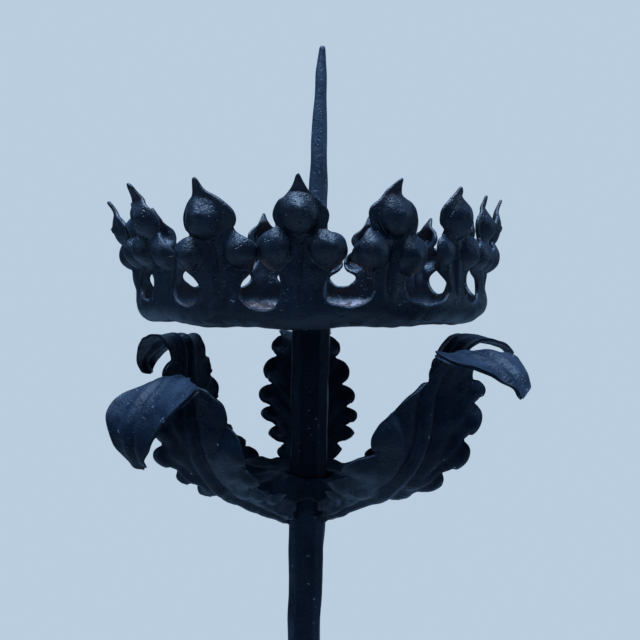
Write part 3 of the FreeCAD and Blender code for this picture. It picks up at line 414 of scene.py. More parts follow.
# Outlines of the front trefoils, no two alike, from the opening on the left to the one on the right
OWN_OUTLINES = {
    0: ((-13.6, 6.9), (-10.9, 8), (-9.4, 9.8), (-8.1, 12.9), (-7.9, 16), (-9.1, 19), (-11.4, 20.2),
        (-13.6, 21.3), (-15.1, 22.9), (-15.7, 25.2), (-14.9, 28.8), (-13, 31), (-11, 32), (-8.9, 32.8),
        (-7.6, 33.8), (-8.2, 35.6), (-8.4, 37.3), (-7.8, 39.4), (-6, 41.8), (-3.7, 43.3), (-2.3, 45),
        (-1.3, 46.6), (-.5, 48.6), (.3, 50.4), (1.1, 50.9), (1.8, 50.3), (2.7, 48.4), (3.6, 46.8), (5, 45.4),
        (6.9, 43.9), (8.7, 42.3), (9.9, 40.5), (10.4, 38.2), (10, 36), (9.3, 33.8), (10.5, 32.3),
        (12.1, 31.6), (13.4, 30.7), (14.5, 29.4), (15.2, 27.6), (15.3, 25.9), (14.8, 24.2), (13.6, 22.6),
        (11.8, 20.9), (9.9, 19.1), (8.7, 16.6), (7.7, 14.4), (7.4, 12.8), (7.8, 11.3), (9.1, 9.8),
        (11.4, 8.6)),
    1: ((-13.2, 8), (-10.8, 8.5), (-7.8, 9.6), (-5.8, 11.4), (-5.1, 13.5), (-5.3, 15.5), (-6.4, 17.5),
        (-7.8, 19.1), (-10, 20.4), (-12.1, 21.4), (-13.9, 22.6), (-14.8, 24.3), (-13.9, 27.2), (-12.2, 28.8),
        (-11, 30.3), (-10.1, 31.6), (-9, 32.8), (-7.4, 34), (-7.7, 36.7), (-7.7, 38.3), (-7.1, 39.8),
        (-5.9, 41.2), (-4.2, 42.4), (-2.8, 43.7), (-1.3, 45.7), (.4, 47.4), (1.9, 48.9), (3.1, 49.7),
        (3.7, 49.2), (3.8, 48.2), (4, 46.4), (4.6, 44.2), (5.8, 42.9), (8.2, 42.1), (10, 40.7), (11.3, 38.6),
        (12.1, 36), (11.9, 34), (11.5, 32.2), (12.6, 31.3), (14.3, 30.1), (15.7, 28.5), (16.3, 26.7),
        (16.3, 24.9), (15.6, 23.1), (14, 21), (11.8, 19.2), (9.8, 17.5), (8.8, 15.7), (8.6, 13.9),
        (8.9, 12.1), (9.9, 10.7), (11.8, 9.3)),
    2: ((-12.6, 8.4), (-8.8, 9.1), (-5.9, 10.6), (-4, 12.9), (-4.4, 15.7), (-6.1, 18), (-8, 19.9),
        (-10.2, 21.7), (-11.7, 23.6), (-12.3, 25.8), (-12.4, 27.7), (-12, 29.6), (-10.9, 31.2), (-9.2, 32.1),
        (-7.6, 33.2), (-8.7, 35.5), (-9.7, 37.7), (-9.9, 39.9), (-9.1, 41.8), (-7.6, 43.6), (-6.5, 45.1),
        (-5, 46.5), (-3.8, 48), (-2.8, 48.8), (-2, 48.1), (-1.4, 46.8), (-1.4, 44.9), (0, 43.2), (2, 41.5),
        (4.1, 39.5), (5.7, 37.2), (6.3, 35), (6.3, 33.2), (8.2, 32.2), (11.2, 31.1), (13.2, 29.2), (14, 26.6),
        (13.6, 24), (12.2, 21.6), (10.2, 19.4), (8.6, 17.4), (7.8, 15), (8, 12.6), (9.4, 10.5),
        (12, 9.1)),
    14: ((-12.8, 8), (-10.6, 9.4), (-9.2, 12), (-9, 15), (-10.2, 17.4), (-12.6, 19.4), (-14.6, 21.4),
         (-15.9, 23.6), (-16.1, 25.8), (-15.5, 28), (-14, 30.1), (-12.2, 31.5), (-10.3, 32.4), (-9, 33.5),
         (-9.5, 35.2), (-9.8, 37.4), (-9.4, 39.6), (-8.3, 41.5), (-7, 43.1), (-6, 44.5), (-5.4, 46.2),
         (-5, 48.1), (-4.6, 49.8), (-3.5, 50.9), (-2.1, 50.1), (-.9, 48.4), (.4, 46.7), (1.8, 44.9),
         (3.4, 43), (4.8, 41.2), (5.8, 39.4), (6.4, 37.3), (6.2, 35.2), (5.6, 33.6), (6.9, 32.4), (8.6, 31.4),
         (10.4, 30), (11.9, 28), (12.6, 25.8), (12.5, 23.6), (11.4, 21.4), (9.6, 19.4), (8.2, 17.3),
         (7.7, 15), (8.2, 12.4), (9.8, 10.2), (12.6, 8.9)),
    15: ((-12.8, 8.7), (-10.6, 9.9), (-9.2, 12.3), (-8.9, 14.7), (-10.3, 17), (-12.7, 18.8), (-14.8, 20.1),
         (-16.6, 21.6), (-17.4, 23.9), (-17.1, 26.8), (-15.8, 28.9), (-13.6, 30.2), (-11.1, 31.1),
         (-9.2, 31.9), (-9.2, 33.1), (-10.3, 34.1), (-10.8, 35.7), (-10.6, 37.8), (-9.8, 39.7), (-8.3, 41.6),
         (-6.5, 43.2), (-5.1, 44.6), (-4.1, 46.3), (-3.4, 48.4), (-2.8, 50.1), (-1.9, 50.7), (-1, 50.2),
         (0, 48.6), (1.1, 47), (2.6, 45.9), (4.1, 44.8), (6.2, 43.3), (8, 41.3), (9.2, 39), (9.3, 36.6),
         (8.5, 34.7), (7.6, 33.4), (9.4, 31.8), (11.7, 30.6), (13.5, 29.5), (14.5, 28.2), (14.9, 26.5),
         (14.8, 25), (13.9, 22.9), (12.3, 20.5), (10.1, 18.1), (8.7, 16.8), (7.8, 15.2), (7.4, 13.5),
         (7.6, 11.4), (8.7, 9.6), (10.6, 8.2), (13.2, 7.2))}


def wall_lean(height):
    """How far the wall has leant out at a height over the pan's underside."""
    rise = height - CORNER
    return rise * (.1 + .0032468 * (rise - 20))


def trefoil_outline(sector):
    """Outline of a trefoil from the opening on its left round to the one on its right."""
    left_foot, right_foot = OPENING_FOOT[sector - 1], OPENING_FOOT[sector]
    if sector in OWN_OUTLINES:
        points = np.array(OWN_OUTLINES[sector], float)
    else:
        side = np.array(PLAIN_SIDE)
        right, left = (side + [(0, (foot - PLAIN_FOOT) * (1 - ramp(up, 10, 21))) for up in side[:, 1]]
                       for foot in (right_foot, left_foot))
        points = np.concatenate([left * (-1, 1), right[::-1]])
    points = np.concatenate([[(-HALF, left_foot)], points, [(HALF, right_foot)]])
    outline = smooth_through(points, OUTLINE_SPACING)
    along = np.gradient(outline, axis=0)
    along /= np.linalg.norm(along, axis=1)[:, None]
    inset = outline + RIM_REACH * np.stack([along[:, 1], -along[:, 0]], axis=1)
    inset[0], inset[-1] = (-HALF, left_foot - RIM_REACH), (HALF, right_foot - RIM_REACH)
    return inset


def crown_sheet(sector):
    """Flat sheet of one sector: points (aside, up), triangles, and the sector's borders."""
    outline = trefoil_outline(sector)
    low = CORNER - CORNER_ARC - (CORNER_MIDDLE - FLOOR_JOIN)
    right_seam = resample([(HALF, low), outline[-1]], CROWN_SPACING)
    left_seam = resample([(-HALF, low), outline[0]], CROWN_SPACING)
    base = resample([(-HALF, low), (HALF, low)], BASE_SPACING)
    loop = np.concatenate([base[:-1], right_seam[:-1], outline[::-1][:-1], left_seam[::-1][:-1]])
    points, triangles = fill(loop, CROWN_SPACING)
    borders = {}
    count = 0
    for key, size in (("base", len(base)), ("right_seam", len(right_seam)),
                      ("rim", len(outline)), ("left_seam", len(left_seam))):
        borders[key] = (count + np.arange(size)) % len(loop)
        count += size - 1
    return points, triangles, borders


# How far a boss's steep foot and its soft upper slope reach, in radii, and how full each is
BALL_REACH, BALL_FULL, SOFT_REACH, SOFT_FULL = 1.06, .68, 1.36, 1.25


def boss_rise(aside, up, boss):
    """Round boss, steep below and running out softly above."""
    across, height, radius, rise = boss
    away = np.hypot(aside - across, up - height) / radius
    above = ramp((up - height) / radius, 0, .9)
    ball = np.clip(1 - (away / BALL_REACH) ** 2, 0, 1) ** BALL_FULL
    soft = np.cos(np.pi / 2 * np.clip(away / SOFT_REACH, 0, 1)) ** SOFT_FULL
    return rise * (ball * (1 - above) + soft * above)


def crown_points(flat, sector):
    """Places of a sector's points on the pan. A sector is one trefoil."""
    aside, up = flat[:, 0], flat[:, 1]
    wall = np.clip((up - CORNER) / WALL_RISE, 0, 1.1)
    own = sector in OWN_OUTLINES
    tilt = 0 if own else TIP_ASIDE[sector] * wall ** 1.3 * ramp(up, 12, 30)
    curl = TIP_OUT[sector] * wall ** 1.5 + 1.0 * ramp(up, 45, 52)
    turn = sector * SECTOR + (aside + tilt) / HALF * SECTOR / 2
    bosses = OWN_BOSSES.get(sector, BOSSES)
    rise = np.max([boss_rise(aside, up, boss) for boss in bosses], axis=0)
    top_aside, top_up = bosses[0][:2]
    nipple = NIPPLE_RISE * np.exp(-((aside - top_aside - .3) ** 2 + (up - top_up - 1.2) ** 2) / .8)
    middle = top_aside * ramp(up, 10, 36)
    crease = -CREASE_DEPTH * np.exp(-((aside - middle) / 1.1) ** 2) * ramp(up, 9, 14) * ramp(up, 33, 28)
    ribs = (RIB_RISE * np.exp(-((np.abs(aside - middle) - RIB_ASIDE) / 1.9) ** 2)
            * ramp(up, 12, 20) * ramp(up, 33, 27))
    cup = CUP_DEPTH * (np.abs(aside) / 9) ** 2 * ramp(up, 9, 14) * ramp(up, 25, 20)
    height = up if own else up + TIP_TALL[sector] * ramp(up, 20, 50)
    radius = WALL_FOOT + wall_lean(np.clip(up, CORNER, 60)) + rise + nipple + crease + ribs - cup + curl
    bend = np.clip((CORNER - up) / CORNER_ARC, 0, 1) * math.pi / 2
    inner = CORNER - SHEET / 2
    in_corner = up <= CORNER
    height = np.where(in_corner, CORNER - inner * np.sin(bend), height)
    radius = np.where(in_corner, CORNER_MIDDLE + inner * np.cos(bend), radius)
    floor_part = up < CORNER - CORNER_ARC
    radius = np.where(floor_part, CORNER_MIDDLE - (CORNER - CORNER_ARC - up), radius)
    return polar(turn, radius, height)


def polar(turn, radius, height):
    """Place at a turn from the front, seen from above towards the right."""
    return np.stack([radius * np.sin(turn), -radius * np.cos(turn), height + 0 * turn], axis=1)


# The pan isn't level: it rises to the right and sinks a trace to the rear
CROWN_TILT_SIDE = math.tan(math.radians(1.074))
CROWN_TILT_REAR = math.tan(math.radians(-.104))
# Dents of the pan: seed, depth, wavelength
CROWN_DENTS = ((40, .45, 34), (50, .12, 7))


def hand_made(points, seed, amount, wavelength):
    """Uneven hammering: moves points a little, smoothly."""
    moved = points.copy()
    for k in range(3):
        moved[:, k] += amount * Waves(seed + k, wavelength)(points)
    return moved


def make_crown(material):
    """Pan and crown from one sheet: sixteen sectors sewn to each other and to the floor."""
    sheets = [crown_sheet(k) for k in range(TREFOILS)]
    starts = np.concatenate([[0], np.cumsum([len(sheet[0]) for sheet in sheets])])
    points = np.concatenate([crown_points(sheet[0], k) for k, sheet in enumerate(sheets)])
    triangles = np.concatenate([sheet[1] + starts[k] for k, sheet in enumerate(sheets)])
    # Each sector's left seam is the right seam of the one before it
    merged = np.arange(len(points))
    for k in range(TREFOILS):
        before = (k - 1) % TREFOILS
        own = sheets[k][2]["left_seam"] + starts[k]
        other = sheets[before][2]["right_seam"][::-1] + starts[before]
        for a, b in zip(own, other):
            low, high = sorted((merged[a], merged[b]))
            merged[merged == high] = low
    ring = np.concatenate([sheets[k][2]["base"][:-1] + starts[k] for k in range(TREFOILS)])
    # Sectors follow each other to the right, so the rim is walked from the last to the first
    rim = np.concatenate([sheets[k][2]["rim"][:-1] + starts[k] for k in range(TREFOILS - 1, -1, -1)])
    ring, rim = merged[ring], merged[rim]
    floor_outline = points[ring][:, :2]
    hole_turns = np.linspace(0, 2 * math.pi, 24, endpoint=False)
    hole = np.stack([PAN_HOLE * np.cos(hole_turns), PAN_HOLE * np.sin(hole_turns)], axis=1)
    floor_flat, floor_triangles = fill(floor_outline, FLOOR_SPACING, hole)
    floor_points = np.column_stack([floor_flat, np.full(len(floor_flat), SHEET / 2)])
    offset = len(points)
    index = np.arange(len(floor_flat)) + offset
    index[:len(ring)] = ring
    points = np.concatenate([points, floor_points])
    merged = np.concatenate([merged, np.arange(offset, len(points))])
    triangles = np.concatenate([merged[triangles], index[floor_triangles][:, ::-1]])
    hole_loop = index[len(ring):len(ring) + len(hole)]
    used, compact = np.unique(triangles, return_inverse=True)
    lookup = np.full(len(points), -1)
    lookup[used] = np.arange(len(used))
    points = points[used]
    triangles = compact.reshape(triangles.shape)
    loops = [lookup[rim], lookup[hole_loop]]
    height = points[:, 2]
    points[:, 0] += SHEAR * np.clip((height - CORNER) / WALL_RISE, 0, 1.2)
    wavy = ramp(np.hypot(points[:, 0], points[:, 1]), 20, 60)[:, None]
    for dents in CROWN_DENTS:
        points += (hand_made(points, *dents) - points) * wavy
    thin = SHEET / 2 * (1 - .35 * ramp(height, 40, 51))
    points[:, 2] += points[:, 0] * CROWN_TILT_SIDE + points[:, 1] * CROWN_TILT_REAR
    points[:, 2] += PAN
    verts, faces = thicken(points, triangles, loops, thin)
    add_piece("crown", verts, faces, material, "crown_pan")


# Leaves of the whorl

class Leaf:
    """Sheet bent along a midrib in an upright plane through the stand's axis."""

    def __init__(self, turn, midrib, twist, fold, drift):
        self.turn = math.radians(turn)
        curve = smooth_through(midrib, .25)
        self.radius, self.height = curve[:, 0], curve[:, 1]
        self.along = np.concatenate([[0], np.cumsum(np.hypot(np.diff(self.radius), np.diff(self.height)))])
        self.length = self.along[-1]
        self.out_slope = np.gradient(self.radius, self.along)
        self.up_slope = np.gradient(self.height, self.along)
        self.twist, self.fold, self.drift = twist, fold, drift

    def place(self, along, aside, rise):
        """Places of points given by length along the midrib, distance aside and rise off the sheet."""
        radius, height, out, up = (np.interp(along, self.along, values) for values in (
            self.radius, self.height, self.out_slope, self.up_slope))
        size = np.hypot(out, up)
        out, up = out / size, up / size
        radial = np.array([math.sin(self.turn), -math.cos(self.turn), 0])
        sideways = np.array([math.cos(self.turn), math.sin(self.turn), 0])
        upright = np.array([0, 0, 1.0])
        normal = radial * up[:, None] - upright * out[:, None]
        share = along / self.length
        centre = (radial * radius[:, None] + upright * height[:, None]
                  + sideways * course(self.drift, share)[:, None])
        turn = np.radians(course(self.twist, share))[:, None]
        across = sideways * np.cos(turn) + normal * np.sin(turn)
        normal = normal * np.cos(turn) - sideways * np.sin(turn)
        bend = 2 * steps(self.fold, share)
        side = np.sin(bend * aside) / bend
        inwards = (1 - np.cos(bend * aside)) / bend
        return (centre + across * (side + rise * np.sin(bend * aside))[:, None]
                + normal * (rise * np.cos(bend * aside) - inwards)[:, None])


# Twist and drift of a leaf that has none
STRAIGHT = ((0, 0), (1, 0))
# How tightly the sides of a leaf are bent up, by share of its length
FOLD = ((0, .006), (.055, .008), (.11, .044), (.15, .048), (.24, .032), (.34, .016), (.5, .008), (.7, .006),
        (1, .005))
DEEP_FOLD = ((0, .006), (.055, .008), (.11, .045), (.15, .049), (.26, .044), (.36, .024), (.5, .009),
             (.7, .006), (1, .005))
LEAF_RIM = .6
LEAF_HALF = .8
LEAF_SPACING, MARGIN_SPACING = 1.0, .8
LOBE_STEPS, LOBE_ROUND = 15, .62
VEIN_DEPTH, VEIN_WIDTH, VEIN_CREST, VEIN_RUN = 1.5, 1.5, .35, 26
MIDRIB_RISE, GROOVE_DEPTH, GROOVE_ASIDE = .75, 1.4, 3.4
# Dents of a leaf: step from its seed, depth, wavelength
LEAF_DENTS = ((0, .5, 30), (7, .10, 6))


def scalloped(notches, lobes):
    """One side of a leaf's outline: rounded lobes between notches."""
    points = []
    for (a, b, bulge) in zip(notches[:-1], notches[1:], lobes):
        start, end = np.array(a, float), np.array(b, float)
        t = np.linspace(0, 1, LOBE_STEPS)
        swell = np.sin(np.pi * t) ** LOBE_ROUND * bulge
        chord = end - start
        aside = np.array([-chord[1], chord[0]]) / max(np.linalg.norm(chord), 1e-9)
        lobe = start + chord * t[:, None] + aside * swell[:, None]
        points += lobe[:-1].tolist()
    points.append(list(notches[-1]))
    return points


def leaf_outline(leaf):
    """Closed outline (along, aside), the aside positive side first."""
    sides = []
    for key, sign in (("right", 1), ("left", -1)):
        notches, lobes, tip = leaf[key]
        body = resample(scalloped(notches, lobes), MARGIN_SPACING)
        end = smooth_through([notches[-1]] + list(tip), MARGIN_SPACING)
        side = np.concatenate([body, end[1:]])
        side[:, 1] *= sign
        sides.append(side)
    right, left = sides
    root = resample([(0, left[0, 1]), (0, right[0, 1])], MARGIN_SPACING)
    loop = np.concatenate([root[:-1], right, left[::-1][1:-1]])
    along = np.roll(loop, -1, axis=0) - np.roll(loop, 1, axis=0)
    along /= np.maximum(np.linalg.norm(along, axis=1), 1e-9)[:, None]
    return loop + LEAF_RIM * np.stack([along[:, 1], -along[:, 0]], axis=1)


def leaf_relief(leaf, flat):
    """Raised lobes and veins of a leaf, with its midrib and grooves, outwards."""
    along, aside = flat[:, 0], flat[:, 1]
    length = leaf["length"]
    rise = np.zeros(len(flat))
    for key, sign in (("right", 1), ("left", -1)):
        notches, lobes, _ = leaf[key]
        for (a, b, bulge) in zip(notches[:-1], notches[1:], lobes):
            middle = (np.array(a, float) + np.array(b, float)) / 2
            width = np.linalg.norm(np.array(b, float) - np.array(a, float)) / 2
            centre = (middle[0], sign * (middle[1] + bulge * .35))
            away = np.hypot((along - centre[0]) / (width * .95), (aside - centre[1]) / (width * 1.15))
            rise += leaf["dome"] * min(1, bulge / 4) * np.exp(-away ** 2 * 1.3)
        for notch in notches[1:-1]:
            foot = (max(2.0, notch[0] - VEIN_RUN), 0)
            vein = np.array(notch, float) * (1, sign) - foot
            reach = np.linalg.norm(vein)
            vein /= reach
            forward = (along - foot[0]) * vein[0] + aside * vein[1]
            off = (along - foot[0]) * vein[1] - aside * vein[0]
            part = ramp(forward, reach * .25, reach * .7) * (forward < reach + 3)
            rise -= VEIN_DEPTH * np.exp(-(off / VEIN_WIDTH) ** 2) * part
            rise += VEIN_CREST * np.exp(-(off / .5) ** 2) * part
    midrib = np.exp(-(aside / 1.2) ** 2)
    rise += MIDRIB_RISE * midrib * ramp(along, length, length * .9)
    rise -= GROOVE_DEPTH * np.exp(-((np.abs(aside) - GROOVE_ASIDE) / 2.0) ** 2) * ramp(along, 0, 20)
    return rise


def make_leaf(name, leaf, material, seed):
    """Leaf from a flat outline, raised, hammered and bent along its midrib."""
    surface = Leaf(leaf["turn"], leaf["midrib"], leaf.get("twist", STRAIGHT), leaf.get("fold", FOLD),
                   leaf.get("drift", STRAIGHT))
    leaf["length"] = surface.length
    scale = surface.length / leaf["drawn_length"]
    outline = leaf_outline(leaf) * (scale, 1)
    points, triangles = fill(outline, LEAF_SPACING)
    rise = leaf_relief(leaf, points / (scale, 1))
    placed = surface.place(np.clip(points[:, 0], 0, surface.length), points[:, 1], rise)
    placed[:, 2] += PAN
    for step, amount, wavelength in LEAF_DENTS:
        placed = hand_made(placed, seed + step, amount, wavelength)
    half = LEAF_HALF * (1 - .3 * ramp(points[:, 0] / surface.length, .75, 1))
    loop = np.arange(len(outline))
    # (along, aside) turns clockwise seen from the outer side, so the triangles are turned over
    verts, faces = thicken(placed, triangles[:, ::-1], [loop[::-1]], half)
    add_piece(name.replace("leaf", "acanthus"), verts, faces, material, name)


# A side has notches (along, aside), how far each lobe between them bulges, and the points of its tip
REAR_LOBES = (.6, .8, 3.6, 5.3, 5.3, 5.3, 5.3, 4.0)
REAR_TIP = ((110, 14.8), (117, 15.4), (125, 13.5), (134, 8.5), (141, 3), (143, 0))
BROAD_SIDE = (
    ((0, 6.3), (14, 11), (28, 14.5), (41, 16), (54, 16.5), (65, 18), (77, 18), (91, 16), (103, 13.5)),
    (.6, 1.2, 2.0, 2.5, 4.5, 5.3, 5.3, 4.0))
NARROW_SIDE = (
    ((0, 6.3), (14, 11), (28, 18), (41, 18.5), (54, 18), (65, 15.5), (77, 13.5), (91, 11), (103, 10)),
    (.6, 1.2, 2.0, 3.0, 4.5, 5.0, 5.0, 4.0))

# Turn from the front, length that the sides are drawn for, rise of a lobe, and midrib (radius, height)
LEAVES = {
    "leaf_1": {
        "turn": 182.5, "drawn_length": 143, "dome": 3.4,
        "midrib": ((9.5, -86), (26, -82), (45, -72), (60, -56), (66, -40), (69, -28), (74, -16),
                   (82, -13.5), (92, -18), (98, -28), (98, -36)),
        "drift": ((0, 0), (.35, .3), (.5, 1.5), (.65, 2.4), (.8, 2.4), (1, 2.4)),
        "right": (((0, 5.8), (14, 8), (28, 9.5), (41, 13), (53, 17.5), (65, 19), (78, 18.3), (93, 16.5),
                   (106, 14)), REAR_LOBES, REAR_TIP),
        "left": (((0, 5.8), (14, 8), (28, 11), (41, 16.5), (53, 21), (65, 21.5), (78, 19), (93, 16.5),
                  (106, 14)), REAR_LOBES, REAR_TIP)},
    "leaf_2": {
        "turn": -114, "drawn_length": 148, "dome": 2.8,
        "midrib": ((9.5, -86), (26, -82), (45, -74), (60.5, -60), (65, -42), (66, -29), (67.5, -19),
                   (72.5, -13.5), (80.5, -15.5), (88, -22.5), (90.5, -28), (88, -34)),
        "fold": DEEP_FOLD,
        "right": BROAD_SIDE + (((110, 15), (120, 16), (132, 13), (141, 8), (147, 2.5), (148, 0)),),
        "left": BROAD_SIDE + (((110, 14), (120, 15), (132, 13), (141, 8), (147, 2.5), (148, 0)),)},
    "leaf_3": {
        "turn": -36, "drawn_length": 144.6, "dome": 3.5,
        "midrib": ((9.5, -88.8), (16, -86.2), (26, -81), (40, -74), (59, -62.5), (69.5, -51), (73.4, -36),
                   (73.2, -27), (77, -21.5), (84, -21), (91.5, -26), (95, -35), (94.5, -41), (90.3, -49)),
        "twist": ((0, 0), (.25, -4), (.5, -8), (.7, -5), (.85, 0), (1, 0)),
        "drift": ((0, 0), (.3, 1.5), (.5, 3), (.65, 2.5), (.8, 0), (1, 0)),
        "right": (((0, .8), (6, 3.2), (14, 9), (28, 13), (41, 14), (56, 16), (72, 20), (89, 17.5), (102, 10)),
                  (.2, .6, 2.5, 4, 4.5, 4.5, 4, 3.5),
                  ((109, 15), (114.5, 24.5), (119.4, 22.7), (123.4, 18.6), (129.6, 12.6), (136.4, 6.8),
                   (143.3, 1.3), (144.6, 0))),
        "left": (((0, 5.6), (14, 7.4), (28, 7), (44, 7.5), (57, 10), (67, 13), (79, 14.5), (92, 12.5),
                  (101, 8)),
                 (.8, 1.5, 2, 2.5, 3, 4.5, 4.5, 3),
                 ((106, 8), (112.7, 9.5), (118, 13.5), (124.9, 14.8), (131.5, 12.3), (139.7, 8.9),
                  (143.5, 3.5), (144.6, 0)))},
    "leaf_4": {
        "turn": 36, "drawn_length": 153.4, "dome": 3.5,
        "midrib": ((9.5, -88.5), (15, -85.2), (22, -81.8), (32, -76.4), (50, -66.8), (63.5, -57.5),
                   (73.2, -45.5),
                   (77.1, -34.1), (78, -21), (82, -12), (90, -7.5), (103, -8), (111, -11), (115.5, -17.5)),
        "twist": ((0, 0), (.25, 8), (.5, 16), (.7, 10), (.85, 0), (1, 0)),
        "drift": ((0, 0), (.3, -2), (.45, -4), (.58, -3), (.75, 0), (1, 0)),
        "right": (((0, 5.6), (14, 6.8), (28, 5.8), (43, 5), (59, 11.5), (74, 15), (86, 16.5), (98, 19.5),
                   (109, 17)),
                  (.8, .8, .8, 2, 4, 4.5, 3, 3.2),
                  ((118, 15), (126, 14), (134.5, 12), (141, 9), (149, 5), (152.6, 1.5), (153.4, 0))),
        "left": (((0, .6), (7, 1.6), (15, 7.5), (28, 13), (42, 14), (59, 18), (79, 15.5), (98, 12.5),
                 (108, 3)),
                 (.2, .5, 2.5, 3, 5.5, 7, 6, 1.5),
                 ((117, 7), (127, 16.5), (137, 20), (144, 11), (149, 5.2), (152.6, 1.2), (153.4, 0)))},
    "leaf_5": {
        "turn": 108, "drawn_length": 145.3, "dome": 2.8,
        "midrib": ((9.5, -86), (26, -82), (45, -72), (61, -57), (65, -42), (65, -30), (67, -17.5),
                   (73, -10.5),
                   (82, -10), (95, -14), (99, -19)),
        "fold": DEEP_FOLD,
        "right": NARROW_SIDE + (((110, 10), (120, 10.5), (130, 9.5), (138, 6.5), (144, 2.5), (145.3, 0)),),
        "left": BROAD_SIDE + (((110, 15), (120, 15), (130, 12), (138, 8), (144, 2.5), (145.3, 0)),)},
}


# Bars and the hub

SHARP_OVER = 40
SOFTEN = .9
SECTION_DETAIL = .1


def bar_section(width, chamfer, count, soften):
    """Rounded outline of a square bar with its corners cut off."""
    half, flat = width / 2, width / 2 - chamfer
    corners = np.array([(half, -flat), (half, flat), (flat, half), (-flat, half), (-half, flat),
                        (-half, -flat), (-flat, -half), (flat, -half), (half, -flat)])
    even = resample(corners, SECTION_DETAIL)[:-1]
    reach = int(soften / SECTION_DETAIL)
    total = np.zeros_like(even)
    for k in range(-reach, reach + 1):
        total += np.roll(even, k, axis=0)
    rounded = total / (2 * reach + 1)
    rounded = np.concatenate([rounded, rounded[:1]])
    along = np.concatenate([[0], np.cumsum(np.linalg.norm(np.diff(rounded, axis=0), axis=1))])
    places = np.linspace(0, along[-1], count, endpoint=False)
    return np.stack([np.interp(places, along, rounded[:, k]) for k in range(2)], axis=1)


def make_bar(name, node, material, stations, seed, step=1.6, uneven=.18, count=64, lean=(0, 0)):
    """Upright forged bar through stations (height, width, chamfer), closed at both ends."""
    stations = sorted(stations)
    heights = [stations[0][0]]
    for low, high in zip(stations[:-1], stations[1:]):
        pieces = max(1, int(math.ceil((high[0] - low[0]) / step)))
        heights += [low[0] + (high[0] - low[0]) * (k + 1) / pieces for k in range(pieces)]
    rings = []
    for height in heights:
        width, chamfer = (steps([(s[0], s[k]) for s in stations], height) for k in (1, 2))
        section = bar_section(width, chamfer, count, min(SOFTEN, width / 9))
        rings.append(np.column_stack([section, np.full(count, height)]))
    points = np.concatenate(rings)
    push = points.copy()
    push[:, 2] = 0
    push /= np.maximum(np.linalg.norm(push, axis=1), 1e-9)[:, None]
    stretched = points * (1, 1, .45)
    dents = uneven * Waves(seed, 9)(stretched) + uneven * .6 * Waves(seed + 1, 26)(stretched)
    points = points + push * dents[:, None]
    share = np.clip((points[:, 2] - heights[0]) / (heights[-1] - heights[0]), 0, 1)
    points[:, 0] += lean[0] + (lean[1] - lean[0]) * share
    faces = []
    for row in range(len(rings) - 1):
        base = row * count
        for k in range(count):
            ahead = (k + 1) % count
            faces.append((base + k, base + ahead, base + count + ahead, base + count + k))
    bottom, top = len(points), len(points) + 1
    ends = np.array([(lean[0], 0, heights[0]), (lean[1], 0, heights[-1])])
    points = np.concatenate([points, ends])
    last = (len(rings) - 1) * count
    for k in range(count):
        ahead = (k + 1) % count
        faces.append((bottom, ahead, k))
        faces.append((top, last + k, last + ahead))
    add_piece(name, points, faces, material, node, SHARP_OVER)


# Rim of the whorl's middle: turn from the front, radius, height under the pan. Both sides are alike.
HUB_FRONT = ((-10, 13, -77), (4, 12.8, -75.8), (12, 13.6, -76.6))
HUB_SIDE = ((22, 14.5, -78), (45, 22, -79.5), (75, 27, -74), (105, 31, -67), (128, 31, -69.5), (148, 31, -71),
            (180, 30, -71.5))
HUB_RIM = tuple((-turn, radius, height) for turn, radius, height in HUB_SIDE[::-1]) + HUB_FRONT + HUB_SIDE
HUB_TURNS, HUB_RINGS, HUB_EASE = 240, 22, 15
HUB_TOP, HUB_SAG = -69.9, 2.2
HUB_HALF = .8
# The hole leaves a gap on the bar's right. Two rows close it below: radius or step in from the hole, height.
HUB_HOLE, HUB_GAP, GAP_TURN, GAP_WIDTH = 9.8, .8, 80, 17
INNER_ROW, HOLE_ROW = (9.1, -73.4), (.5, -71.4)


def make_hub(material):
    """Dished middle of the whorl round the bar, that runs out into the leaves."""
    turns = HUB_TURNS
    angle = np.linspace(-180, 180, turns, endpoint=False)
    window = np.hanning(HUB_EASE) / np.hanning(HUB_EASE).sum()
    table = np.array(HUB_RIM)
    rim, rim_height = (
        np.convolve(np.pad(np.interp(angle, table[:, 0], table[:, k]), HUB_EASE // 2, mode="wrap"), window,
                    mode="valid") for k in (1, 2))
    rear = ramp(np.abs(angle), 60, 110)
    hole = HUB_HOLE + HUB_GAP * np.exp(-((angle - GAP_TURN) / GAP_WIDTH) ** 2)
    rows = [polar(np.radians(angle), np.full(turns, INNER_ROW[0]), INNER_ROW[1]),
            polar(np.radians(angle), hole - HOLE_ROW[0], HOLE_ROW[1])]
    for t in np.linspace(0, 1, HUB_RINGS):
        height = HUB_TOP + (rim_height - HUB_TOP) * t ** 1.3 - HUB_SAG * rear * math.sin(math.pi * t)
        rows.append(polar(np.radians(angle), hole + (rim - hole) * t, height))
    points = np.concatenate(rows)
    triangles = []
    for k in range(len(rows) - 1):
        for j in range(turns):
            a, b = k * turns + j, k * turns + (j + 1) % turns
            c, d = a + turns, b + turns
            triangles += [(a, c, d), (a, d, b)]
    triangles = np.array(triangles)
    points[:, 2] += PAN
    inner, outer = np.arange(turns), (len(rows) - 1) * turns + np.arange(turns)
    points = hand_made(points, 71, .45, 9)
    verts, faces = thicken(points, triangles, [inner[::-1], outer], HUB_HALF)
    add_piece("hub", verts, faces, material, "leaf_hub")


# Build

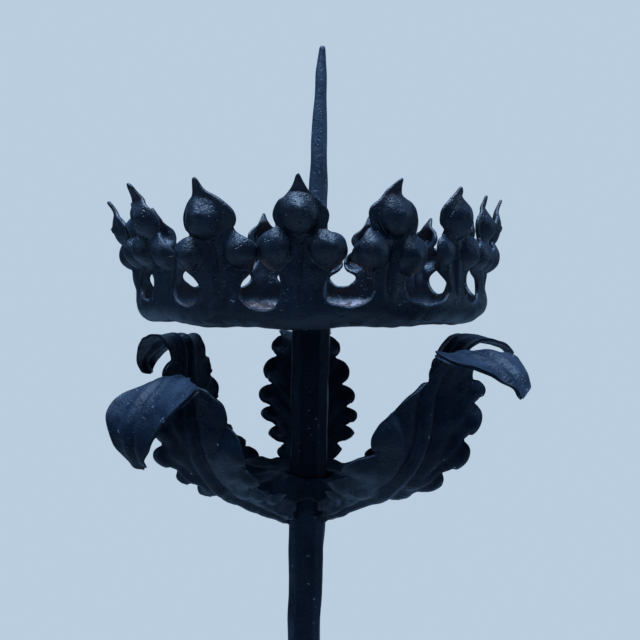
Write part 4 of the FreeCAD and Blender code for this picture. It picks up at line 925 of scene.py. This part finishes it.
make_camera()
IRON = painted_iron("painted_iron", (.0014, .0050, .0125), (.0046, .0118, .0250), .36, shine=.24)
CROWN_IRON = painted_iron("pan_iron", (.0012, .0038, .0095), (.0040, .0095, .0200), .29, shine=.55, rust=1,
                          tips=.8)
HUB_IRON = painted_iron("whorl_iron", (.0018, .0045, .0095), (.0060, .0105, .0180), .50, shine=.3,
                        dirt=(.022, .022, .028))
SPIKE_IRON = painted_iron("spike_iron", (.0200, .0370, .0600), (.0560, .0860, .1250), .45, wear=.9, chips=.9,
                          streaks=.9)

make_crown(CROWN_IRON)
for number, leaf_name in enumerate(sorted(LEAVES)):
    make_leaf(leaf_name, LEAVES[leaf_name], IRON, 100 + 20 * number)
make_hub(HUB_IRON)
# Stations of the bars: height, width, chamfer. Those of the spike are over its shoulder.
WASHER = 3
SHOULDER = PAN + SHEET + WASHER
BAR_JOINT = PAN - 86
SPIKE = ((-6, 5.6, 1.6), (0, 5.6, 1.6), (.01, 9.9, 2.9), (55, 7.7, 2.2), (74, 6.5, 1.9), (90, 5.5, 1.6),
         (101, 4.6, 1.35), (107.4, 3.8, 1.1), (110.9, 2.9, .84), (111.7, 1.8, .5))
make_bar("spike", "pricket_spike", SPIKE_IRON,
         [(SHOULDER + up, width, chamfer) for up, width, chamfer in SPIKE], 81,
         step=1.0, uneven=.2, count=48, lean=(1.3, 1.6))
make_bar("upper_bar", "upper_shaft", IRON,
         [(BAR_JOINT, 16.2, 4.1), (PAN - .2, 16.2, 4.1)], 84)
make_bar("lower_bar", "lower_shaft", IRON,
         [(152, 6, 1.5), (168, 14.5, 3.6), (PAN - 138, 14.5, 3.6), (BAR_JOINT, 16.1, 4.1)], 88, step=2.4)

# The pieces that keep their CAD mesh
for node_name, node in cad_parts.items():
    if not node.hide_render:
        node.data.materials.clear()
        node.data.materials.append(CROWN_IRON if node_name == "spike_washer" else IRON)


# Light

BACKDROP = (.490, .610, .740)
WORLD_LIGHT = (.22, .46, .84)
FLOOR_RADIUS = 6
# The floor's colour in what it lights, and in what the camera sees
FLOOR_BOUNCE, FLOOR_SEEN = (.40, .46, .52), (.95, .74, .60)
FADE_FROM, FADE_TO = .25, .95
# Where the lights aim
AIM = (0, 0, .98)


def make_light(name, place, size, power, colour):
    """Soft light from an oblong that faces the crown."""
    data = bpy.data.lights.new(name, "AREA")
    data.shape = "RECTANGLE"
    data.size, data.size_y = size
    data.energy = power
    data.color = colour
    lamp = bpy.data.objects.new(name, data)
    bpy.context.scene.collection.objects.link(lamp)
    lamp.location = place
    lamp.rotation_euler = (Vector(AIM) - Vector(place)).to_track_quat("-Z", "Y").to_euler()
    lamp.visible_camera = False


def make_world():
    """Even backdrop for the camera, and a light that is stronger from above for everything else."""
    world = bpy.data.worlds.new("world")
    bpy.context.scene.world = world
    add = node_tools(world)
    backdrop = add("ShaderNodeBackground", {"Color": (*BACKDROP, 1)})
    direction = add("ShaderNodeTexCoord").outputs["Generated"]
    upward = add("ShaderNodeSeparateXYZ", {"Vector": direction}).outputs["Z"]
    strength = add("ShaderNodeMapRange", {"Value": upward, "From Min": -.35, "From Max": .75,
                                          "To Min": .03, "To Max": .34}).outputs[0]
    lighting = add("ShaderNodeBackground", {"Color": (*WORLD_LIGHT, 1), "Strength": strength})
    seen = add("ShaderNodeLightPath").outputs["Is Camera Ray"]
    mixed = add("ShaderNodeMixShader", {0: seen, 1: lighting.outputs[0], 2: backdrop.outputs[0]})
    add("ShaderNodeOutputWorld", {"Surface": mixed.outputs[0]})


def make_floor():
    """Pale floor that fades into the backdrop's colour away from the stand."""
    mesh = bpy.data.meshes.new("floor")
    turns = np.linspace(0, 2 * math.pi, 96, endpoint=False)
    mesh.from_pydata([(FLOOR_RADIUS * math.cos(a), FLOOR_RADIUS * math.sin(a), 0) for a in turns], [],
                     [list(range(len(turns)))])
    floor = bpy.data.objects.new("floor", mesh)
    bpy.context.scene.collection.objects.link(floor)
    material = bpy.data.materials.new("floor")
    add = node_tools(material)
    place = add("ShaderNodeTexCoord").outputs["Object"]
    flat = add("ShaderNodeMapping", {"Vector": place, "Scale": (1, 1, 0)}).outputs["Vector"]
    away = add("ShaderNodeVectorMath", {0: flat}, operation="LENGTH").outputs["Value"]
    fade = add("ShaderNodeMapRange", {"Value": away, "From Min": FADE_FROM, "From Max": FADE_TO},
               interpolation_type="SMOOTHSTEP").outputs["Result"]
    seen = add("ShaderNodeLightPath").outputs["Is Camera Ray"]
    fade = add("ShaderNodeMath", {0: fade, 1: seen}, operation="MULTIPLY").outputs[0]
    shade = add("ShaderNodeMix", {"Factor": seen, 6: (*FLOOR_BOUNCE, 1), 7: (*FLOOR_SEEN, 1)},
                data_type="RGBA").outputs[2]
    matt = add("ShaderNodeBsdfDiffuse", {"Color": shade})
    clear = add("ShaderNodeBsdfTransparent")
    mixed = add("ShaderNodeMixShader", {0: fade, 1: matt.outputs[0], 2: clear.outputs[0]})
    add("ShaderNodeOutputMaterial", {"Surface": mixed.outputs[0]})
    mesh.materials.append(material)


make_world()
make_floor()
# Name, place, size, power and colour of each light
LIGHTS = (
    ("sky", (-.25, -.3, 2.9), (1.9, 1.4), 84, (.44, .66, 1)),
    ("left", (-2.2, -.9, 1.7), (1.4, 1.8), 3.5, (.40, .64, 1)),
    ("right", (2.3, .2, 1.5), (1.2, 1.6), 6, (.40, .64, 1)),
    ("door", (0, 2.2, 1.3), (3.2, 2.2), 4.5, (.46, .68, 1)))
for light in LIGHTS:
    make_light(*light)

bpy.context.scene.view_settings.view_transform = "Standard"
